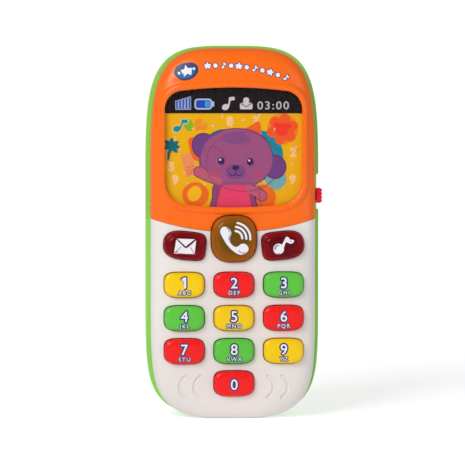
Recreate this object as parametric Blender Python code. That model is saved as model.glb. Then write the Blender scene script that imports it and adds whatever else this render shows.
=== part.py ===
"""Toy cell phone: an assembly of separate moulded, printed and metal pieces.

Frame: the phone stands upright, its keypad faces -Y, +X is to the right seen
from the keypad side, +Z is up. The origin is at the middle of the foot.
All constants below are in millimetres.
"""

import bpy
import bmesh
from functools import partial
from math import atan2, cos, degrees, pi, radians, sin, sqrt
from mathutils import Vector

MM = 0.001

# ---------------------------------------------------------------- main sizes
HEIGHT = 152.0
REAR_HALF_W = 35.5
FRONT_HALF_W = 33.55
FRONT_TOP = 150.8
MID_Z = 73.0
FOOT_DIP = -0.25
HALF_DEPTH = 15.5
FACE_Y = -12.5
WALL = 2.0
EDGE_R = 7.0
# Superellipse powers of the outline above and below MID_Z: across, then up and down.
EXP_TOP = (3.7, 6.0)
EXP_BOTTOM = (2.85, 8.0)
SEAM_FRONT_Y = 0.85
SEAM_REAR_Y = 1.15
SEAM_LIP_Y = -0.7
SEAM_LIP_INSETS = (4.4, 5.6)
OUTLINE_N = 56

# ------------------------------------------------- seam between the two fronts
SPLIT_MID_Z = 76.25
SPLIT_R = 104.8
SPLIT_HALF_GAP = 0.15

# -------------------------------------------------------------------- keypad
KEY_PITCH_X = 20.1
KEY_ROWS_Z = (55.0, 41.5, 28.1, 14.95)
KEY_HALF = (8.0, 5.0)
KEY_EXPS = (3.7, 3.3)
KEY_TOP_Y = -15.3
KEY_FLANGE_Y = (-9.2, -10.2)
KEY_FLANGE_OUT = 0.85
KEY_CROWN = ((0.0, 1.0), (0.4, 0.35), (1.3, 0.0))
KEY_HOLE_GAP = 0.4
SIDE_BUTTON = (19.9, 70.9)
SIDE_BUTTON_HALF = (8.4, 5.55)
SIDE_BUTTON_EXPS = (3.0, 3.0)
SIDE_BUTTON_TILT = 6.0
SIDE_FLANGE_OUT = (0.65, 0.85)
SIDE_FLANGE_SHIFT = 0.2
CALL_BUTTON = (0.0, 73.65)
CALL_BUTTON_HALF = (9.15, 9.35)
CALL_BUTTON_EXPS = (2.8, 2.8)
CALL_FLANGE_OUT = (0.45, 0.8)
BUTTON_TOP_Y = -15.5
BUTTON_HOLE_GAP = 0.3
BUTTON_CROWN = ((0.0, 1.2), (0.6, 0.5), (2.0, 0.1), (4.0, 0.0))
KEY_LOOP_N = 16
BUTTON_LOOP_N = 20
HOLE_Y = (-20.0, -8.0)
FLANGE_ROOM_Y = (-10.5, -7.4)
FLANGE_ROOM = 0.3

# ------------------------------------------- grooves on both sides of the 0 key
GROOVE_MID_X = (16.2, 22.0)
GROOVE_SAG = 3.0
GROOVE_Z = 13.4
GROOVE_HALF_Z = 5.1
GROOVE_WIDTH = 1.3
GROOVE_DEPTH = 0.5

# -------------------------------------------------------------------- window
WIN_HALF_W = 27.8
WIN_TOP_Z = 134.65
WIN_TOP_SAG = 2.4
WIN_BOTTOM_Z = 86.3
WIN_BOTTOM_SAG = 2.4
WIN_R_TOP = 7.5
WIN_R_BOTTOM = 9.5
WIN_LIP = 1.8
WIN_LIP_Y = -13.3
LENS_Y = (-10.2, -9.7)
CARD_Y = (-9.4, -8.9)
PICTURE_GROW = 1.6
PICTURE_SEAT_GROW = 1.9

# --------------------------------------------------------------- electronics
MAT_Y = (-7.7, -6.5)
DOME_Y = -8.9
PCB_Y = (-6.2, -4.6)
PCB_HALF_W = 27.0
PCB_Z = (17.4, 97.0)
PCB_TAIL = (11.0, 7.0)
CASE_SCREWS_LOW = (20.5, 13.5)
CASE_SCREWS_HIGH = (20.0, 138.6)
PCB_SCREWS_LOW = (25.0, 20.0)
PCB_SCREWS_HIGH = (25.0, 82.6)
SPEAKER_Z = 112.0
SPEAKER_R = 14.3
LED_SIDE = (26.0, 71.4)
LED_CALL_X = 6.2
BOSS_FROM_Y = -11.2
CASE_BOSS_R = 3.0
CASE_BOSS_Y = 6.7
PCB_BOSS_R = 1.7
PCB_BOSS_Y = -6.5

# ------------------------------------------------------------- battery bay
BAY_HALF_W = 12.4
BAY_Z = (25.0, 75.0)
BAY_FLOOR_Y = 2.3
BAY_WALL = 1.5
DOOR_HALF_W = 15.9
DOOR_Z = (21.3, 78.7)
DOOR_Y = (13.6, 15.3)
DOOR_GAP = 0.3
DOOR_PIN_R = 0.5
DOOR_SCREW_Z = 76.8
BATTERY_R = 5.15
BATTERY_X = 5.6
BATTERY_Y = 7.75

# ------------------------------------------------------------- slide switch
KNOB_Z = 90.9
KNOB_OUT_X = 36.5
KNOB_HALF_Z = 3.05
KNOB_RIDGES = 4
NOTCH_Z = (85.8, 99.0)
NOTCH_FLARE = 1.6
SWITCH_BODY_Z = (KNOB_Z - 5.0, KNOB_Z + 8.0)
SWITCH_TRACK_Z = (KNOB_Z - 1.9, KNOB_Z + 5.9)
SWITCH_SLOT_Z = (KNOB_Z - 2.3, KNOB_Z + 6.3)


def clear_scene():
    for item in list(bpy.data.objects):
        bpy.data.objects.remove(item, do_unlink=True)


def make_material(name, color, roughness, metallic=0.0, alpha=1.0):
    mat = bpy.data.materials.get(name) or bpy.data.materials.new(name)
    mat.use_nodes = True
    shader = mat.node_tree.nodes["Principled BSDF"]
    shader.inputs["Base Color"].default_value = (color[0], color[1], color[2], 1.0)
    shader.inputs["Roughness"].default_value = roughness
    shader.inputs["Metallic"].default_value = metallic
    shader.inputs["Alpha"].default_value = alpha
    mat.diffuse_color = (color[0], color[1], color[2], alpha)
    return mat


def link_mesh(name, verts, faces, material=None, smooth=True):
    """Make an object from points in millimetres and close its normals outwards."""
    mesh = bpy.data.meshes.new(name)
    mesh.from_pydata([(x * MM, y * MM, z * MM) for x, y, z in verts], [], faces)
    work = bmesh.new()
    work.from_mesh(mesh)
    bmesh.ops.recalc_face_normals(work, faces=work.faces)
    work.to_mesh(mesh)
    work.free()
    mesh.polygons.foreach_set("use_smooth", [smooth] * len(mesh.polygons))
    obj = bpy.data.objects.new(name, mesh)
    bpy.context.scene.collection.objects.link(obj)
    if material is not None:
        obj.data.materials.append(material)
    return obj


def loft(name, rings, material=None, smooth=True):
    """Skin equal rings in order and cap both ends."""
    count = len(rings[0])
    verts = [p for ring in rings for p in ring]
    faces = [tuple(range(count))]
    for k in range(len(rings) - 1):
        for i in range(count):
            j = (i + 1) % count
            faces.append((k * count + i, k * count + j, (k + 1) * count + j, (k + 1) * count + i))
    last = (len(rings) - 1) * count
    faces.append(tuple(last + i for i in range(count)))
    return link_mesh(name, verts, faces, material, smooth)


def prism_y(name, loop, y0, y1, material=None, smooth=False):
    """Extrude a closed XZ loop from y0 to y1."""
    return loft(name, [[(x, y0, z) for x, z in loop], [(x, y1, z) for x, z in loop]], material, smooth)


def block(name, lo, hi, material=None):
    loop = [(lo[0], lo[2]), (hi[0], lo[2]), (hi[0], hi[2]), (lo[0], hi[2])]
    return prism_y(name, loop, lo[1], hi[1], material)


def lathe_y(name, center, profile, count, material=None, smooth=True):
    """Rings about a line parallel to Y: profile is (radius, y) from one end to the other."""
    rings = []
    for radius, y in profile:
        ring = []
        for i in range(count):
            t = 2 * pi * (i + 0.5) / count
            ring.append((center[0] + radius * cos(t), y, center[1] + radius * sin(t)))
        rings.append(ring)
    return loft(name, rings, material, smooth)


def lathe_z(name, center, profile, count, material=None, smooth=True):
    """Rings about a line parallel to Z: profile is (radius, z), center is (x, y)."""
    rings = []
    for radius, z in profile:
        ring = []
        for i in range(count):
            t = 2 * pi * i / count
            ring.append((center[0] + radius * cos(t), center[1] + radius * sin(t), z))
        rings.append(ring)
    return loft(name, rings, material, smooth)


def tube(name, path, radius, sides, material=None):
    """A round wire along a list of points."""
    points = [Vector(p) for p in path]
    rings = []
    normal = None
    for k, point in enumerate(points):
        before = points[max(k - 1, 0)]
        after = points[min(k + 1, len(points) - 1)]
        tangent = (after - before).normalized()
        if normal is None:
            side = Vector((0, 0, 1)) if abs(tangent.z) < 0.9 else Vector((1, 0, 0))
            normal = tangent.cross(side).normalized()
        normal = (normal - tangent * normal.dot(tangent)).normalized()
        other = tangent.cross(normal)
        ring = []
        for i in range(sides):
            t = 2 * pi * i / sides
            ring.append(tuple(point + normal * (radius * cos(t)) + other * (radius * sin(t))))
        rings.append(ring)
    return loft(name, rings, material)


def combine(base, tool, operation):
    """Apply one exact Boolean and throw the tool away."""
    tool.hide_render = True
    tool.display_type = 'WIRE'
    mod = base.modifiers.new("cut", 'BOOLEAN')
    mod.operation = operation
    mod.solver = 'EXACT'
    mod.object = tool
    bpy.context.view_layer.update()
    graph = bpy.context.evaluated_depsgraph_get()
    mesh = bpy.data.meshes.new_from_object(base.evaluated_get(graph))
    base.modifiers.clear()
    base.data = mesh
    bpy.data.objects.remove(tool, do_unlink=True)
    return base


def cut(base, tool):
    return combine(base, tool, 'DIFFERENCE')


def add(base, tool):
    return combine(base, tool, 'UNION')


def finish_piece(obj, name, material, smooth_angle=40.0, origin=None):
    """Name the piece, give it its one material, its shading and its origin."""
    obj.name = name
    obj.data.name = name
    obj.data.materials.clear()
    obj.data.materials.append(material)
    work = bmesh.new()
    work.from_mesh(obj.data)
    bmesh.ops.remove_doubles(work, verts=work.verts, dist=0.002 * MM)
    bmesh.ops.dissolve_degenerate(work, dist=0.001 * MM, edges=work.edges)
    bmesh.ops.recalc_face_normals(work, faces=work.faces)
    limit = radians(smooth_angle)
    for edge in work.edges:
        if len(edge.link_faces) == 2:
            edge.smooth = edge.calc_face_angle(0.0) < limit
    for face in work.faces:
        face.smooth = True
        face.material_index = 0
    if origin is not None:
        offset = Vector(origin) * MM
        bmesh.ops.translate(work, verts=work.verts, vec=-offset)
    work.to_mesh(obj.data)
    work.free()
    if origin is not None:
        obj.location = Vector(origin) * MM
    return obj


# ------------------------------------------------------------------ outlines
def signed_power(value, power):
    return (1 if value >= 0 else -1) * abs(value) ** power


def case_ring(half_w, top, inset, y, count=OUTLINE_N):
    """The rounded phone outline, moved in by inset, with its foot cut flat."""
    a = half_w - inset
    up = top - MID_Z - inset
    down = MID_Z - FOOT_DIP - inset
    ring = []
    for i in range(count):
        t = 2 * pi * i / count
        c = cos(t)
        s = sin(t)
        across, upright = EXP_TOP if s >= 0 else EXP_BOTTOM
        x = a * signed_power(c, 2 / across)
        z = MID_Z + (up if s >= 0 else down) * signed_power(s, 2 / upright)
        ring.append((x, y, max(z, inset)))
    return ring


def edge_profile(direction, radius, steps=4):
    """Insets and depths of a quarter-round edge, from the side wall to the face."""
    out = []
    for k in range(steps + 1):
        t = pi / 2 * k / steps
        out.append((EDGE_R - radius * cos(t), direction * radius * sin(t)))
    return out


def key_loop(center, half, exps, count, tilt=0.0, grow=(0.0, 0.0), shift=0.0):
    """A rounded key outline in XZ, optionally grown, shifted and turned. exps are its top and bottom powers."""
    loop = []
    turn = radians(tilt)
    for i in range(count):
        t = 2 * pi * (i + 0.5) / count
        n = exps[0] if sin(t) >= 0 else exps[1]
        x = shift + (half[0] + grow[0]) * signed_power(cos(t), 2 / n)
        z = (half[1] + grow[1]) * signed_power(sin(t), 2 / n)
        loop.append((center[0] + x * cos(turn) - z * sin(turn), center[1] + x * sin(turn) + z * cos(turn)))
    return loop


def split_z(x):
    return SPLIT_MID_Z + SPLIT_R - sqrt(SPLIT_R ** 2 - x * x)


def split_loop(upper):
    """A large region above or below the smile-shaped seam."""
    steps = 16
    arc = []
    for k in range(steps + 1):
        x = -45.0 + 90.0 * k / steps
        arc.append((x, split_z(x) + (SPLIT_HALF_GAP if upper else -SPLIT_HALF_GAP)))
    if upper:
        return arc + [(45.0, 175.0), (-45.0, 175.0)]
    return [(-45.0, -20.0), (45.0, -20.0)] + arc[::-1]


def window_loop(grow, corner_steps=4, edge_steps=6):
    """The picture window: arched top, bowed bottom, rounded corners."""
    half = WIN_HALF_W + grow
    loop = []

    def top_z(x):
        return WIN_TOP_Z + grow - WIN_TOP_SAG * (x / half) ** 2

    def bottom_z(x):
        return WIN_BOTTOM_Z - grow + WIN_BOTTOM_SAG * (x / half) ** 2

    r_top = WIN_R_TOP + grow
    r_bot = WIN_R_BOTTOM + grow
    for k in range(edge_steps + 1):
        x = -(half - r_bot) + 2 * (half - r_bot) * k / edge_steps
        loop.append((x, bottom_z(x)))
    base = bottom_z(half - r_bot)
    for k in range(1, corner_steps + 1):
        t = -pi / 2 + pi / 2 * k / corner_steps
        loop.append((half - r_bot + r_bot * cos(t), base + r_bot + r_bot * sin(t)))
    top = top_z(half - r_top)
    for k in range(corner_steps):
        t = pi / 2 * k / corner_steps
        loop.append((half - r_top + r_top * cos(t), top - r_top + r_top * sin(t)))
    for k in range(edge_steps + 1):
        x = (half - r_top) - 2 * (half - r_top) * k / edge_steps
        loop.append((x, top_z(x)))
    for k in range(1, corner_steps + 1):
        t = pi / 2 + pi / 2 * k / corner_steps
        loop.append((-(half - r_top) + r_top * cos(t), top - r_top + r_top * sin(t)))
    for k in range(corner_steps):
        t = pi + pi / 2 * k / corner_steps
        loop.append((-(half - r_bot) + r_bot * cos(t), base + r_bot + r_bot * sin(t)))
    return loop


def arc_band(center, radius, width, start, end, steps=8):
    """A curved groove outline in XZ."""
    outer = []
    inner = []
    for k in range(steps + 1):
        t = radians(start + (end - start) * k / steps)
        outer.append((center[0] + (radius + width / 2) * cos(t), center[1] + (radius + width / 2) * sin(t)))
        inner.append((center[0] + (radius - width / 2) * cos(t), center[1] + (radius - width / 2) * sin(t)))
    return outer + inner[::-1]


# -------------------------------------------------------------------- shells
def front_blank(name):
    """The whole front moulding before it is split into its two colours."""
    mid_y = FACE_Y + EDGE_R
    rings = []
    for inset, dy in reversed(edge_profile(-1, EDGE_R)):
        rings.append(case_ring(FRONT_HALF_W, FRONT_TOP, inset, mid_y + dy))
    rings.append(case_ring(FRONT_HALF_W, FRONT_TOP, 0.0, SEAM_FRONT_Y))
    rings.append(case_ring(FRONT_HALF_W, FRONT_TOP, WALL, SEAM_FRONT_Y))
    for inset, dy in edge_profile(-1, EDGE_R - WALL):
        rings.append(case_ring(FRONT_HALF_W, FRONT_TOP, inset, mid_y + dy))
    return loft(name, rings)


def side_loop(side, grow=(0.0, 0.0), shift=0.0):
    """Outline of the button on the left (-1) or right (1) of the call button."""
    center = (side * SIDE_BUTTON[0], SIDE_BUTTON[1])
    tilt = side * SIDE_BUTTON_TILT
    return key_loop(center, SIDE_BUTTON_HALF, SIDE_BUTTON_EXPS, BUTTON_LOOP_N, tilt, grow, side * shift)


def call_loop(grow=(0.0, 0.0)):
    return key_loop(CALL_BUTTON, CALL_BUTTON_HALF, CALL_BUTTON_EXPS, BUTTON_LOOP_N, 0.0, grow)


def digit_loop(center, grow=(0.0, 0.0)):
    return key_loop(center, KEY_HALF, KEY_EXPS, KEY_LOOP_N, 0.0, grow)


def key_centers():
    """Digit to centre: 1 to 9 in three rows, 0 below the middle column."""
    centers = {}
    for digit in range(1, 10):
        row = (digit - 1) // 3
        column = (digit - 1) % 3 - 1
        centers[digit] = (column * KEY_PITCH_X, KEY_ROWS_Z[row])
    centers[0] = (0.0, KEY_ROWS_Z[3])
    return centers


def add_boss(shell, center, radius, y0, y1, pilot_r, pilot_y):
    """A round post from the wall at y0 to y1, with a blind pilot hole from y1 to pilot_y."""
    add(shell, lathe_y("boss", center, [(radius, y0), (radius, y1)], 14))
    cut(shell, lathe_y("pilot", center, [(pilot_r, pilot_y), (pilot_r, y1 + 0.5)], 12))


def groove_loops(side):
    """Two curved grooves on one side of the 0 key, bowed outwards."""
    loops = []
    for mid_x in GROOVE_MID_X:
        radius = (GROOVE_HALF_Z ** 2 + GROOVE_SAG ** 2) / (2 * GROOVE_SAG)
        sweep = degrees(atan2(GROOVE_HALF_Z, radius - GROOVE_SAG))
        middle = 0.0 if side > 0 else 180.0
        center = (side * (mid_x - radius), GROOVE_Z)
        loops.append(arc_band(center, radius, GROOVE_WIDTH, middle - sweep, middle + sweep))
    return loops


def build_front_case(material):
    shell = front_blank("front_case")
    combine(shell, prism_y("split", split_loop(False), -30, 30), 'INTERSECT')
    gap = (BUTTON_HOLE_GAP, BUTTON_HOLE_GAP)
    for loop in (side_loop(-1, gap), call_loop(gap), side_loop(1, gap)):
        cut(shell, prism_y("hole", loop, *HOLE_Y))
    room = KEY_FLANGE_OUT + FLANGE_ROOM
    for center in key_centers().values():
        cut(shell, prism_y("hole", digit_loop(center, (KEY_HOLE_GAP, KEY_HOLE_GAP)), *HOLE_Y))
        if center[0]:
            cut(shell, prism_y("flange_room", digit_loop(center, (room, room)), *FLANGE_ROOM_Y))
    for side in (-1, 1):
        room = (SIDE_FLANGE_OUT[0] + FLANGE_ROOM, SIDE_FLANGE_OUT[1] + FLANGE_ROOM)
        cut(shell, prism_y("flange_room", side_loop(side, room, SIDE_FLANGE_SHIFT), *FLANGE_ROOM_Y))
        for loop in groove_loops(side):
            cut(shell, prism_y("groove", loop, -20, FACE_Y + GROOVE_DEPTH))
        screw = (side * CASE_SCREWS_LOW[0], CASE_SCREWS_LOW[1])
        add_boss(shell, screw, CASE_BOSS_R, BOSS_FROM_Y, CASE_BOSS_Y, 1.25, -6.0)
        screw = (side * PCB_SCREWS_LOW[0], PCB_SCREWS_LOW[1])
        add_boss(shell, screw, PCB_BOSS_R, BOSS_FROM_Y, PCB_BOSS_Y, 0.75, -9.8)
        # A tab that reaches up behind the bezel and holds it down at the seam.
        add(shell, side_block("tab_root", side, (30.4, -5.0, 70.0), (32.4, -1.1, 77.0)))
        add(shell, side_block("tab", side, (30.1, -5.0, 70.4), (31.3, -1.1, 86.0)))
    return finish_piece(shell, "front_case", material)


def side_block(name, side, lo, hi):
    if side > 0:
        return block(name, lo, hi)
    return block(name, (-hi[0], lo[1], lo[2]), (-lo[0], hi[1], hi[2]))


def build_screen_bezel(material):
    shell = front_blank("screen_bezel")
    combine(shell, prism_y("split", split_loop(True), -30, 30), 'INTERSECT')
    ring = [
        [(x, -11.5, z) for x, z in window_loop(WIN_LIP + 0.3)],
        [(x, FACE_Y, z) for x, z in window_loop(WIN_LIP)],
        [(x, WIN_LIP_Y, z) for x, z in window_loop(WIN_LIP - 0.6)],
    ]
    add(shell, loft("lip", ring))
    cut(shell, prism_y("window", window_loop(0.0), *HOLE_Y))
    cut(shell, prism_y("picture_seat", window_loop(PICTURE_SEAT_GROW), -10.5, -8.0))
    cut(shell, prism_y("hole", call_loop((BUTTON_HOLE_GAP, BUTTON_HOLE_GAP)), *HOLE_Y))
    for side in (-1, 1):
        screw = (side * CASE_SCREWS_HIGH[0], CASE_SCREWS_HIGH[1])
        add_boss(shell, screw, CASE_BOSS_R, BOSS_FROM_Y, CASE_BOSS_Y, 1.25, -6.0)
        screw = (side * PCB_SCREWS_HIGH[0], PCB_SCREWS_HIGH[1])
        add_boss(shell, screw, PCB_BOSS_R, BOSS_FROM_Y, PCB_BOSS_Y, 0.75, -9.8)
    cut(shell, block("slot", (31.0, -5.2, SWITCH_SLOT_Z[0]), (35.0, -1.8, SWITCH_SLOT_Z[1])))
    return finish_piece(shell, "screen_bezel", material)


def build_rear_case(material):
    mid_y = HALF_DEPTH - EDGE_R
    rings = []
    for inset, dy in reversed(edge_profile(1, EDGE_R)):
        rings.append(case_ring(REAR_HALF_W, HEIGHT, inset, mid_y + dy))
    lip_out, lip_in = SEAM_LIP_INSETS
    rim = [(0.0, SEAM_REAR_Y), (lip_out, SEAM_REAR_Y), (lip_out, SEAM_LIP_Y), (lip_in, SEAM_LIP_Y), (lip_in, 2.7),
           (WALL, 2.7)]
    for inset, y in rim:
        rings.append(case_ring(REAR_HALF_W, HEIGHT, inset, y))
    for inset, dy in edge_profile(1, EDGE_R - WALL):
        rings.append(case_ring(REAR_HALF_W, HEIGHT, inset, mid_y + dy))
    shell = loft("rear_case", rings)

    # Battery bay, its door ledge and the door's hinge holes.
    lo_z, hi_z = BAY_Z
    half = BAY_HALF_W
    add(shell, block("bay", (-half - BAY_WALL, 0.8, lo_z - BAY_WALL), (half + BAY_WALL, 14.2, hi_z + BAY_WALL)))
    add(shell, block("ledge", (-18.2, 12.0, 19.0), (18.2, 14.3, 81.0)))
    add(shell, lathe_y("door_boss", (0, DOOR_SCREW_Z), [(2.5, 6.0), (2.5, 13.0)], 14))
    cut(shell, block("recess", (-DOOR_HALF_W - DOOR_GAP, 13.4, DOOR_Z[0] - DOOR_GAP),
                     (DOOR_HALF_W + DOOR_GAP, 18, DOOR_Z[1] + DOOR_GAP)))
    cut(shell, block("cavity", (-half, BAY_FLOOR_Y, lo_z), (half, 18, hi_z)))
    cut(shell, lathe_y("door_pilot", (0, DOOR_SCREW_Z), [(1.15, 7.0), (1.15, 18.0)], 12))
    pin_y, pin_z = door_axis()
    holes = tube("pin_holes", [(-17.3, pin_y, pin_z), (17.3, pin_y, pin_z)], 0.7, 12)
    cut(shell, holes)
    for x in (-BATTERY_X, BATTERY_X):
        cut(shell, block("tail_slot", (x - 1.6, -1, 73.5), (x + 1.6, 3, 74.7)))

    # Screw wells.
    for x, z in case_screw_centers():
        add(shell, lathe_y("post", (x, z), [(3.6, 7.0), (3.6, 14.0)], 16))
        cut(shell, lathe_y("well", (x, z), [(2.7, 9.0), (2.7, 18.0)], 14))
        cut(shell, lathe_y("through", (x, z), [(1.4, 6.0), (1.4, 10.0)], 12))

    # Speaker fence and grille.
    fence = lathe_y("fence", (0, SPEAKER_Z), [(16.0, 9.5), (16.0, 14.0)], 32)
    cut(fence, lathe_y("fence_in", (0, SPEAKER_Z), [(14.8, 9.0), (14.8, 13.8)], 32))
    add(shell, fence)
    cut(shell, lathe_y("hole", (0, SPEAKER_Z), [(1.1, 12.0), (1.1, 18.0)], 8))
    for count, radius in ((6, 4.4), (12, 8.8)):
        for k in range(count):
            t = 2 * pi * k / count
            center = (radius * cos(t), SPEAKER_Z + radius * sin(t))
            cut(shell, lathe_y("hole", center, [(1.1, 12.0), (1.1, 18.0)], 8))

    # Side notch behind the slide switch's knob.
    lo_z, hi_z = NOTCH_Z
    add(shell, block("pad", (31.8, 2.0, lo_z - 2.0), (34.6, 10.0, hi_z + 2.0)))
    notch = [[(33.9, 0.0, lo_z), (33.9, 0.0, hi_z), (33.9, 8.6, hi_z), (33.9, 8.6, lo_z)]]
    lo_z -= NOTCH_FLARE
    hi_z += NOTCH_FLARE
    notch.append([(37.0, 0.0, lo_z), (37.0, 0.0, hi_z), (37.0, 10.6, hi_z), (37.0, 10.6, lo_z)])
    cut(shell, loft("notch", notch))
    return finish_piece(shell, "rear_case", material)


def door_axis():
    radius = (DOOR_Y[1] - DOOR_Y[0]) / 2
    return DOOR_Y[0] + radius, DOOR_Z[0] + radius


def case_screw_centers():
    low = CASE_SCREWS_LOW
    high = CASE_SCREWS_HIGH
    return [(-low[0], low[1]), low, (-high[0], high[1]), high]


def pcb_screw_centers():
    low = PCB_SCREWS_LOW
    high = PCB_SCREWS_HIGH
    return [(-low[0], low[1]), low, (-high[0], high[1]), high]


# --------------------------------------------------------------- keys, buttons
def build_cap(name, center, outline, flange, top_y, crown, material):
    """One cap: a retaining flange, a stem through the wall and a rounded top.

    outline is a function from a growth to a loop; crown lists (inset, depth below the top).
    """
    rings = [[(x, y, z) for x, z in flange] for y in KEY_FLANGE_Y]
    rings.append([(x, KEY_FLANGE_Y[1], z) for x, z in outline((0.0, 0.0))])
    for inset, drop in crown:
        rings.append([(x, top_y + drop, z) for x, z in outline((-inset, -inset))])
    obj = loft(name, rings, material)
    return finish_piece(obj, name, material, 35.0, (center[0], KEY_FLANGE_Y[0], center[1]))


def build_keys(materials):
    colors = {1: "yellow", 2: "red", 3: "green", 4: "green", 5: "yellow",
              6: "red", 7: "red", 8: "green", 9: "yellow", 0: "red"}
    for digit, center in key_centers().items():
        flange = digit_loop(center, (KEY_FLANGE_OUT, KEY_FLANGE_OUT))
        build_cap("key_%d" % digit, center, partial(digit_loop, center), flange, KEY_TOP_Y, KEY_CROWN,
                  materials["key_" + colors[digit]])
    for side, name in ((-1, "mail_button"), (1, "music_button")):
        center = (side * SIDE_BUTTON[0], SIDE_BUTTON[1])
        flange = side_loop(side, SIDE_FLANGE_OUT, SIDE_FLANGE_SHIFT)
        build_cap(name, center, partial(side_loop, side), flange, KEY_TOP_Y, BUTTON_CROWN, materials["button_red"])
    build_cap("call_button", CALL_BUTTON, call_loop, call_loop(CALL_FLANGE_OUT), BUTTON_TOP_Y, BUTTON_CROWN,
              materials["button_amber"])


# ----------------------------------------------------------------- inner parts
def build_picture(lens_material, card_material):
    lens = prism_y("picture_lens", window_loop(PICTURE_GROW), *LENS_Y)
    finish_piece(lens, "picture_lens", lens_material)
    card = prism_y("picture_card", window_loop(PICTURE_GROW), *CARD_Y)
    finish_piece(card, "picture_card", card_material)


def led_centers():
    x, z = LED_SIDE
    return {"led_mail": (-x, z), "led_call": (LED_CALL_X, CALL_BUTTON[1]), "led_music": (x, z)}


def build_keypad_mat(material):
    loop = [(-12.0, 9.0), (12.0, 9.0), (12.0, 22.7), (29.0, 22.7), (29.0, 79.4), (-29.0, 79.4), (-29.0, 22.7),
            (-12.0, 22.7)]
    mat = prism_y("keypad_mat", loop, MAT_Y[0], MAT_Y[1])
    centers = list(key_centers().values())
    centers += [(-SIDE_BUTTON[0], SIDE_BUTTON[1]), SIDE_BUTTON, CALL_BUTTON]
    for center in centers:
        profile = [(3.2, MAT_Y[1] - 0.5), (4.2, MAT_Y[0]), (3.0, DOME_Y)]
        add(mat, lathe_y("dome", center, profile, 12))
    for center in led_centers().values():
        cut(mat, lathe_y("led_hole", center, [(1.9, -9.5), (1.9, -5.0)], 10))
    finish_piece(mat, "keypad_mat", material)


def build_pcb(board, chip, can, screw_mat, led_mat):
    z0, z1 = PCB_Z
    tail_w, tail_z = PCB_TAIL
    w = PCB_HALF_W
    loop = [(-tail_w, tail_z), (tail_w, tail_z), (tail_w, z0), (w, z0), (w, z1), (-w, z1), (-w, z0), (-tail_w, z0)]
    pcb = prism_y("main_pcb", loop, PCB_Y[0], PCB_Y[1])
    for center in pcb_screw_centers():
        cut(pcb, lathe_y("hole", center, [(1.0, -7.0), (1.0, -4.0)], 10))
    finish_piece(pcb, "main_pcb", board)
    blob = lathe_y("sound_chip", (0, 50.0), [(6.5, -4.3), (6.3, -3.9), (4.6, -3.1), (2.2, -2.7)], 16)
    finish_piece(blob, "sound_chip", chip, 60.0)
    body = lathe_y("capacitor", (-19.5, 60.0), [(2.5, -4.3), (2.5, 1.2), (2.2, 1.6)], 14)
    finish_piece(body, "capacitor", can)
    for name, center in led_centers().items():
        led = lathe_y(name, center, [(1.5, -6.45), (1.5, -7.1), (1.2, -7.5), (0.6, -7.75)], 10)
        finish_piece(led, name, led_mat, 60.0)
    for index, center in enumerate(pcb_screw_centers()):
        profile = [(0.35, -9.5), (0.55, -9.1), (0.55, -4.5), (1.6, -4.5), (1.6, -3.9), (1.0, -3.4)]
        screw = lathe_y("pcb_screw", center, profile, 10)
        finish_piece(screw, "pcb_screw_%d" % (index + 1), screw_mat)


def cross_recess(screw, center, y_top, arm, width, depth):
    """Two crossing slots in a screw head that faces +Y."""
    x, z = center
    cut(screw, block("slot", (x - arm, y_top - depth, z - width / 2), (x + arm, y_top + 1, z + width / 2)))
    cut(screw, block("slot", (x - width / 2, y_top - depth, z - arm), (x + width / 2, y_top + 1, z + arm)))


def build_case_screws(material):
    for index, center in enumerate(case_screw_centers()):
        profile = [(0.4, -4.0), (0.95, -3.0), (0.95, 9.1), (2.2, 9.1), (2.2, 10.0), (1.5, 10.7)]
        screw = lathe_y("case_screw", center, profile, 12)
        cross_recess(screw, center, 10.7, 1.1, 0.5, 0.8)
        finish_piece(screw, "case_screw_%d" % (index + 1), material)


def build_switch(body_mat, lever_mat, knob_mat):
    z = KNOB_Z
    body = block("slide_switch_body", (19.5, -4.3, SWITCH_BODY_Z[0]), (27.2, -0.5, SWITCH_BODY_Z[1]))
    cut(body, block("track", (24.0, -3.5, SWITCH_TRACK_Z[0]), (29.0, -1.3, SWITCH_TRACK_Z[1])))
    finish_piece(body, "slide_switch_body", body_mat)
    lever = block("slide_switch_lever", (24.6, -3.1, z - 1.0), (29.7, -1.7, z + 1.0))
    finish_piece(lever, "slide_switch_lever", lever_mat, 40.0, (27.0, -2.4, z))
    top = KNOB_OUT_X
    half = KNOB_HALF_Z
    root = 34.1
    groove = 0.7
    loop = []
    for k in range(KNOB_RIDGES):
        low = -half + 2 * half * k / KNOB_RIDGES
        high = -half + 2 * half * (k + 1) / KNOB_RIDGES
        loop.append((top - groove, low))
        loop.append((top, low + 0.48))
        loop.append((top, high - 0.48))
    loop += [(top - groove, half), (root, half), (root, -half)]
    cap = loft("slide_switch_knob", [[(x, -6.0, z + dz) for x, dz in loop], [(x, -1.0, z + dz) for x, dz in loop]])
    add(cap, block("neck", (30.8, -4.9, z - 2.0), (34.6, -2.1, z + 2.0)))
    add(cap, block("plate", (30.0, -6.2, z - 4.0), (31.1, -1.1, z + 4.0)))
    finish_piece(cap, "slide_switch_knob", knob_mat, 30.0, (33.0, -3.5, z))


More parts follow.
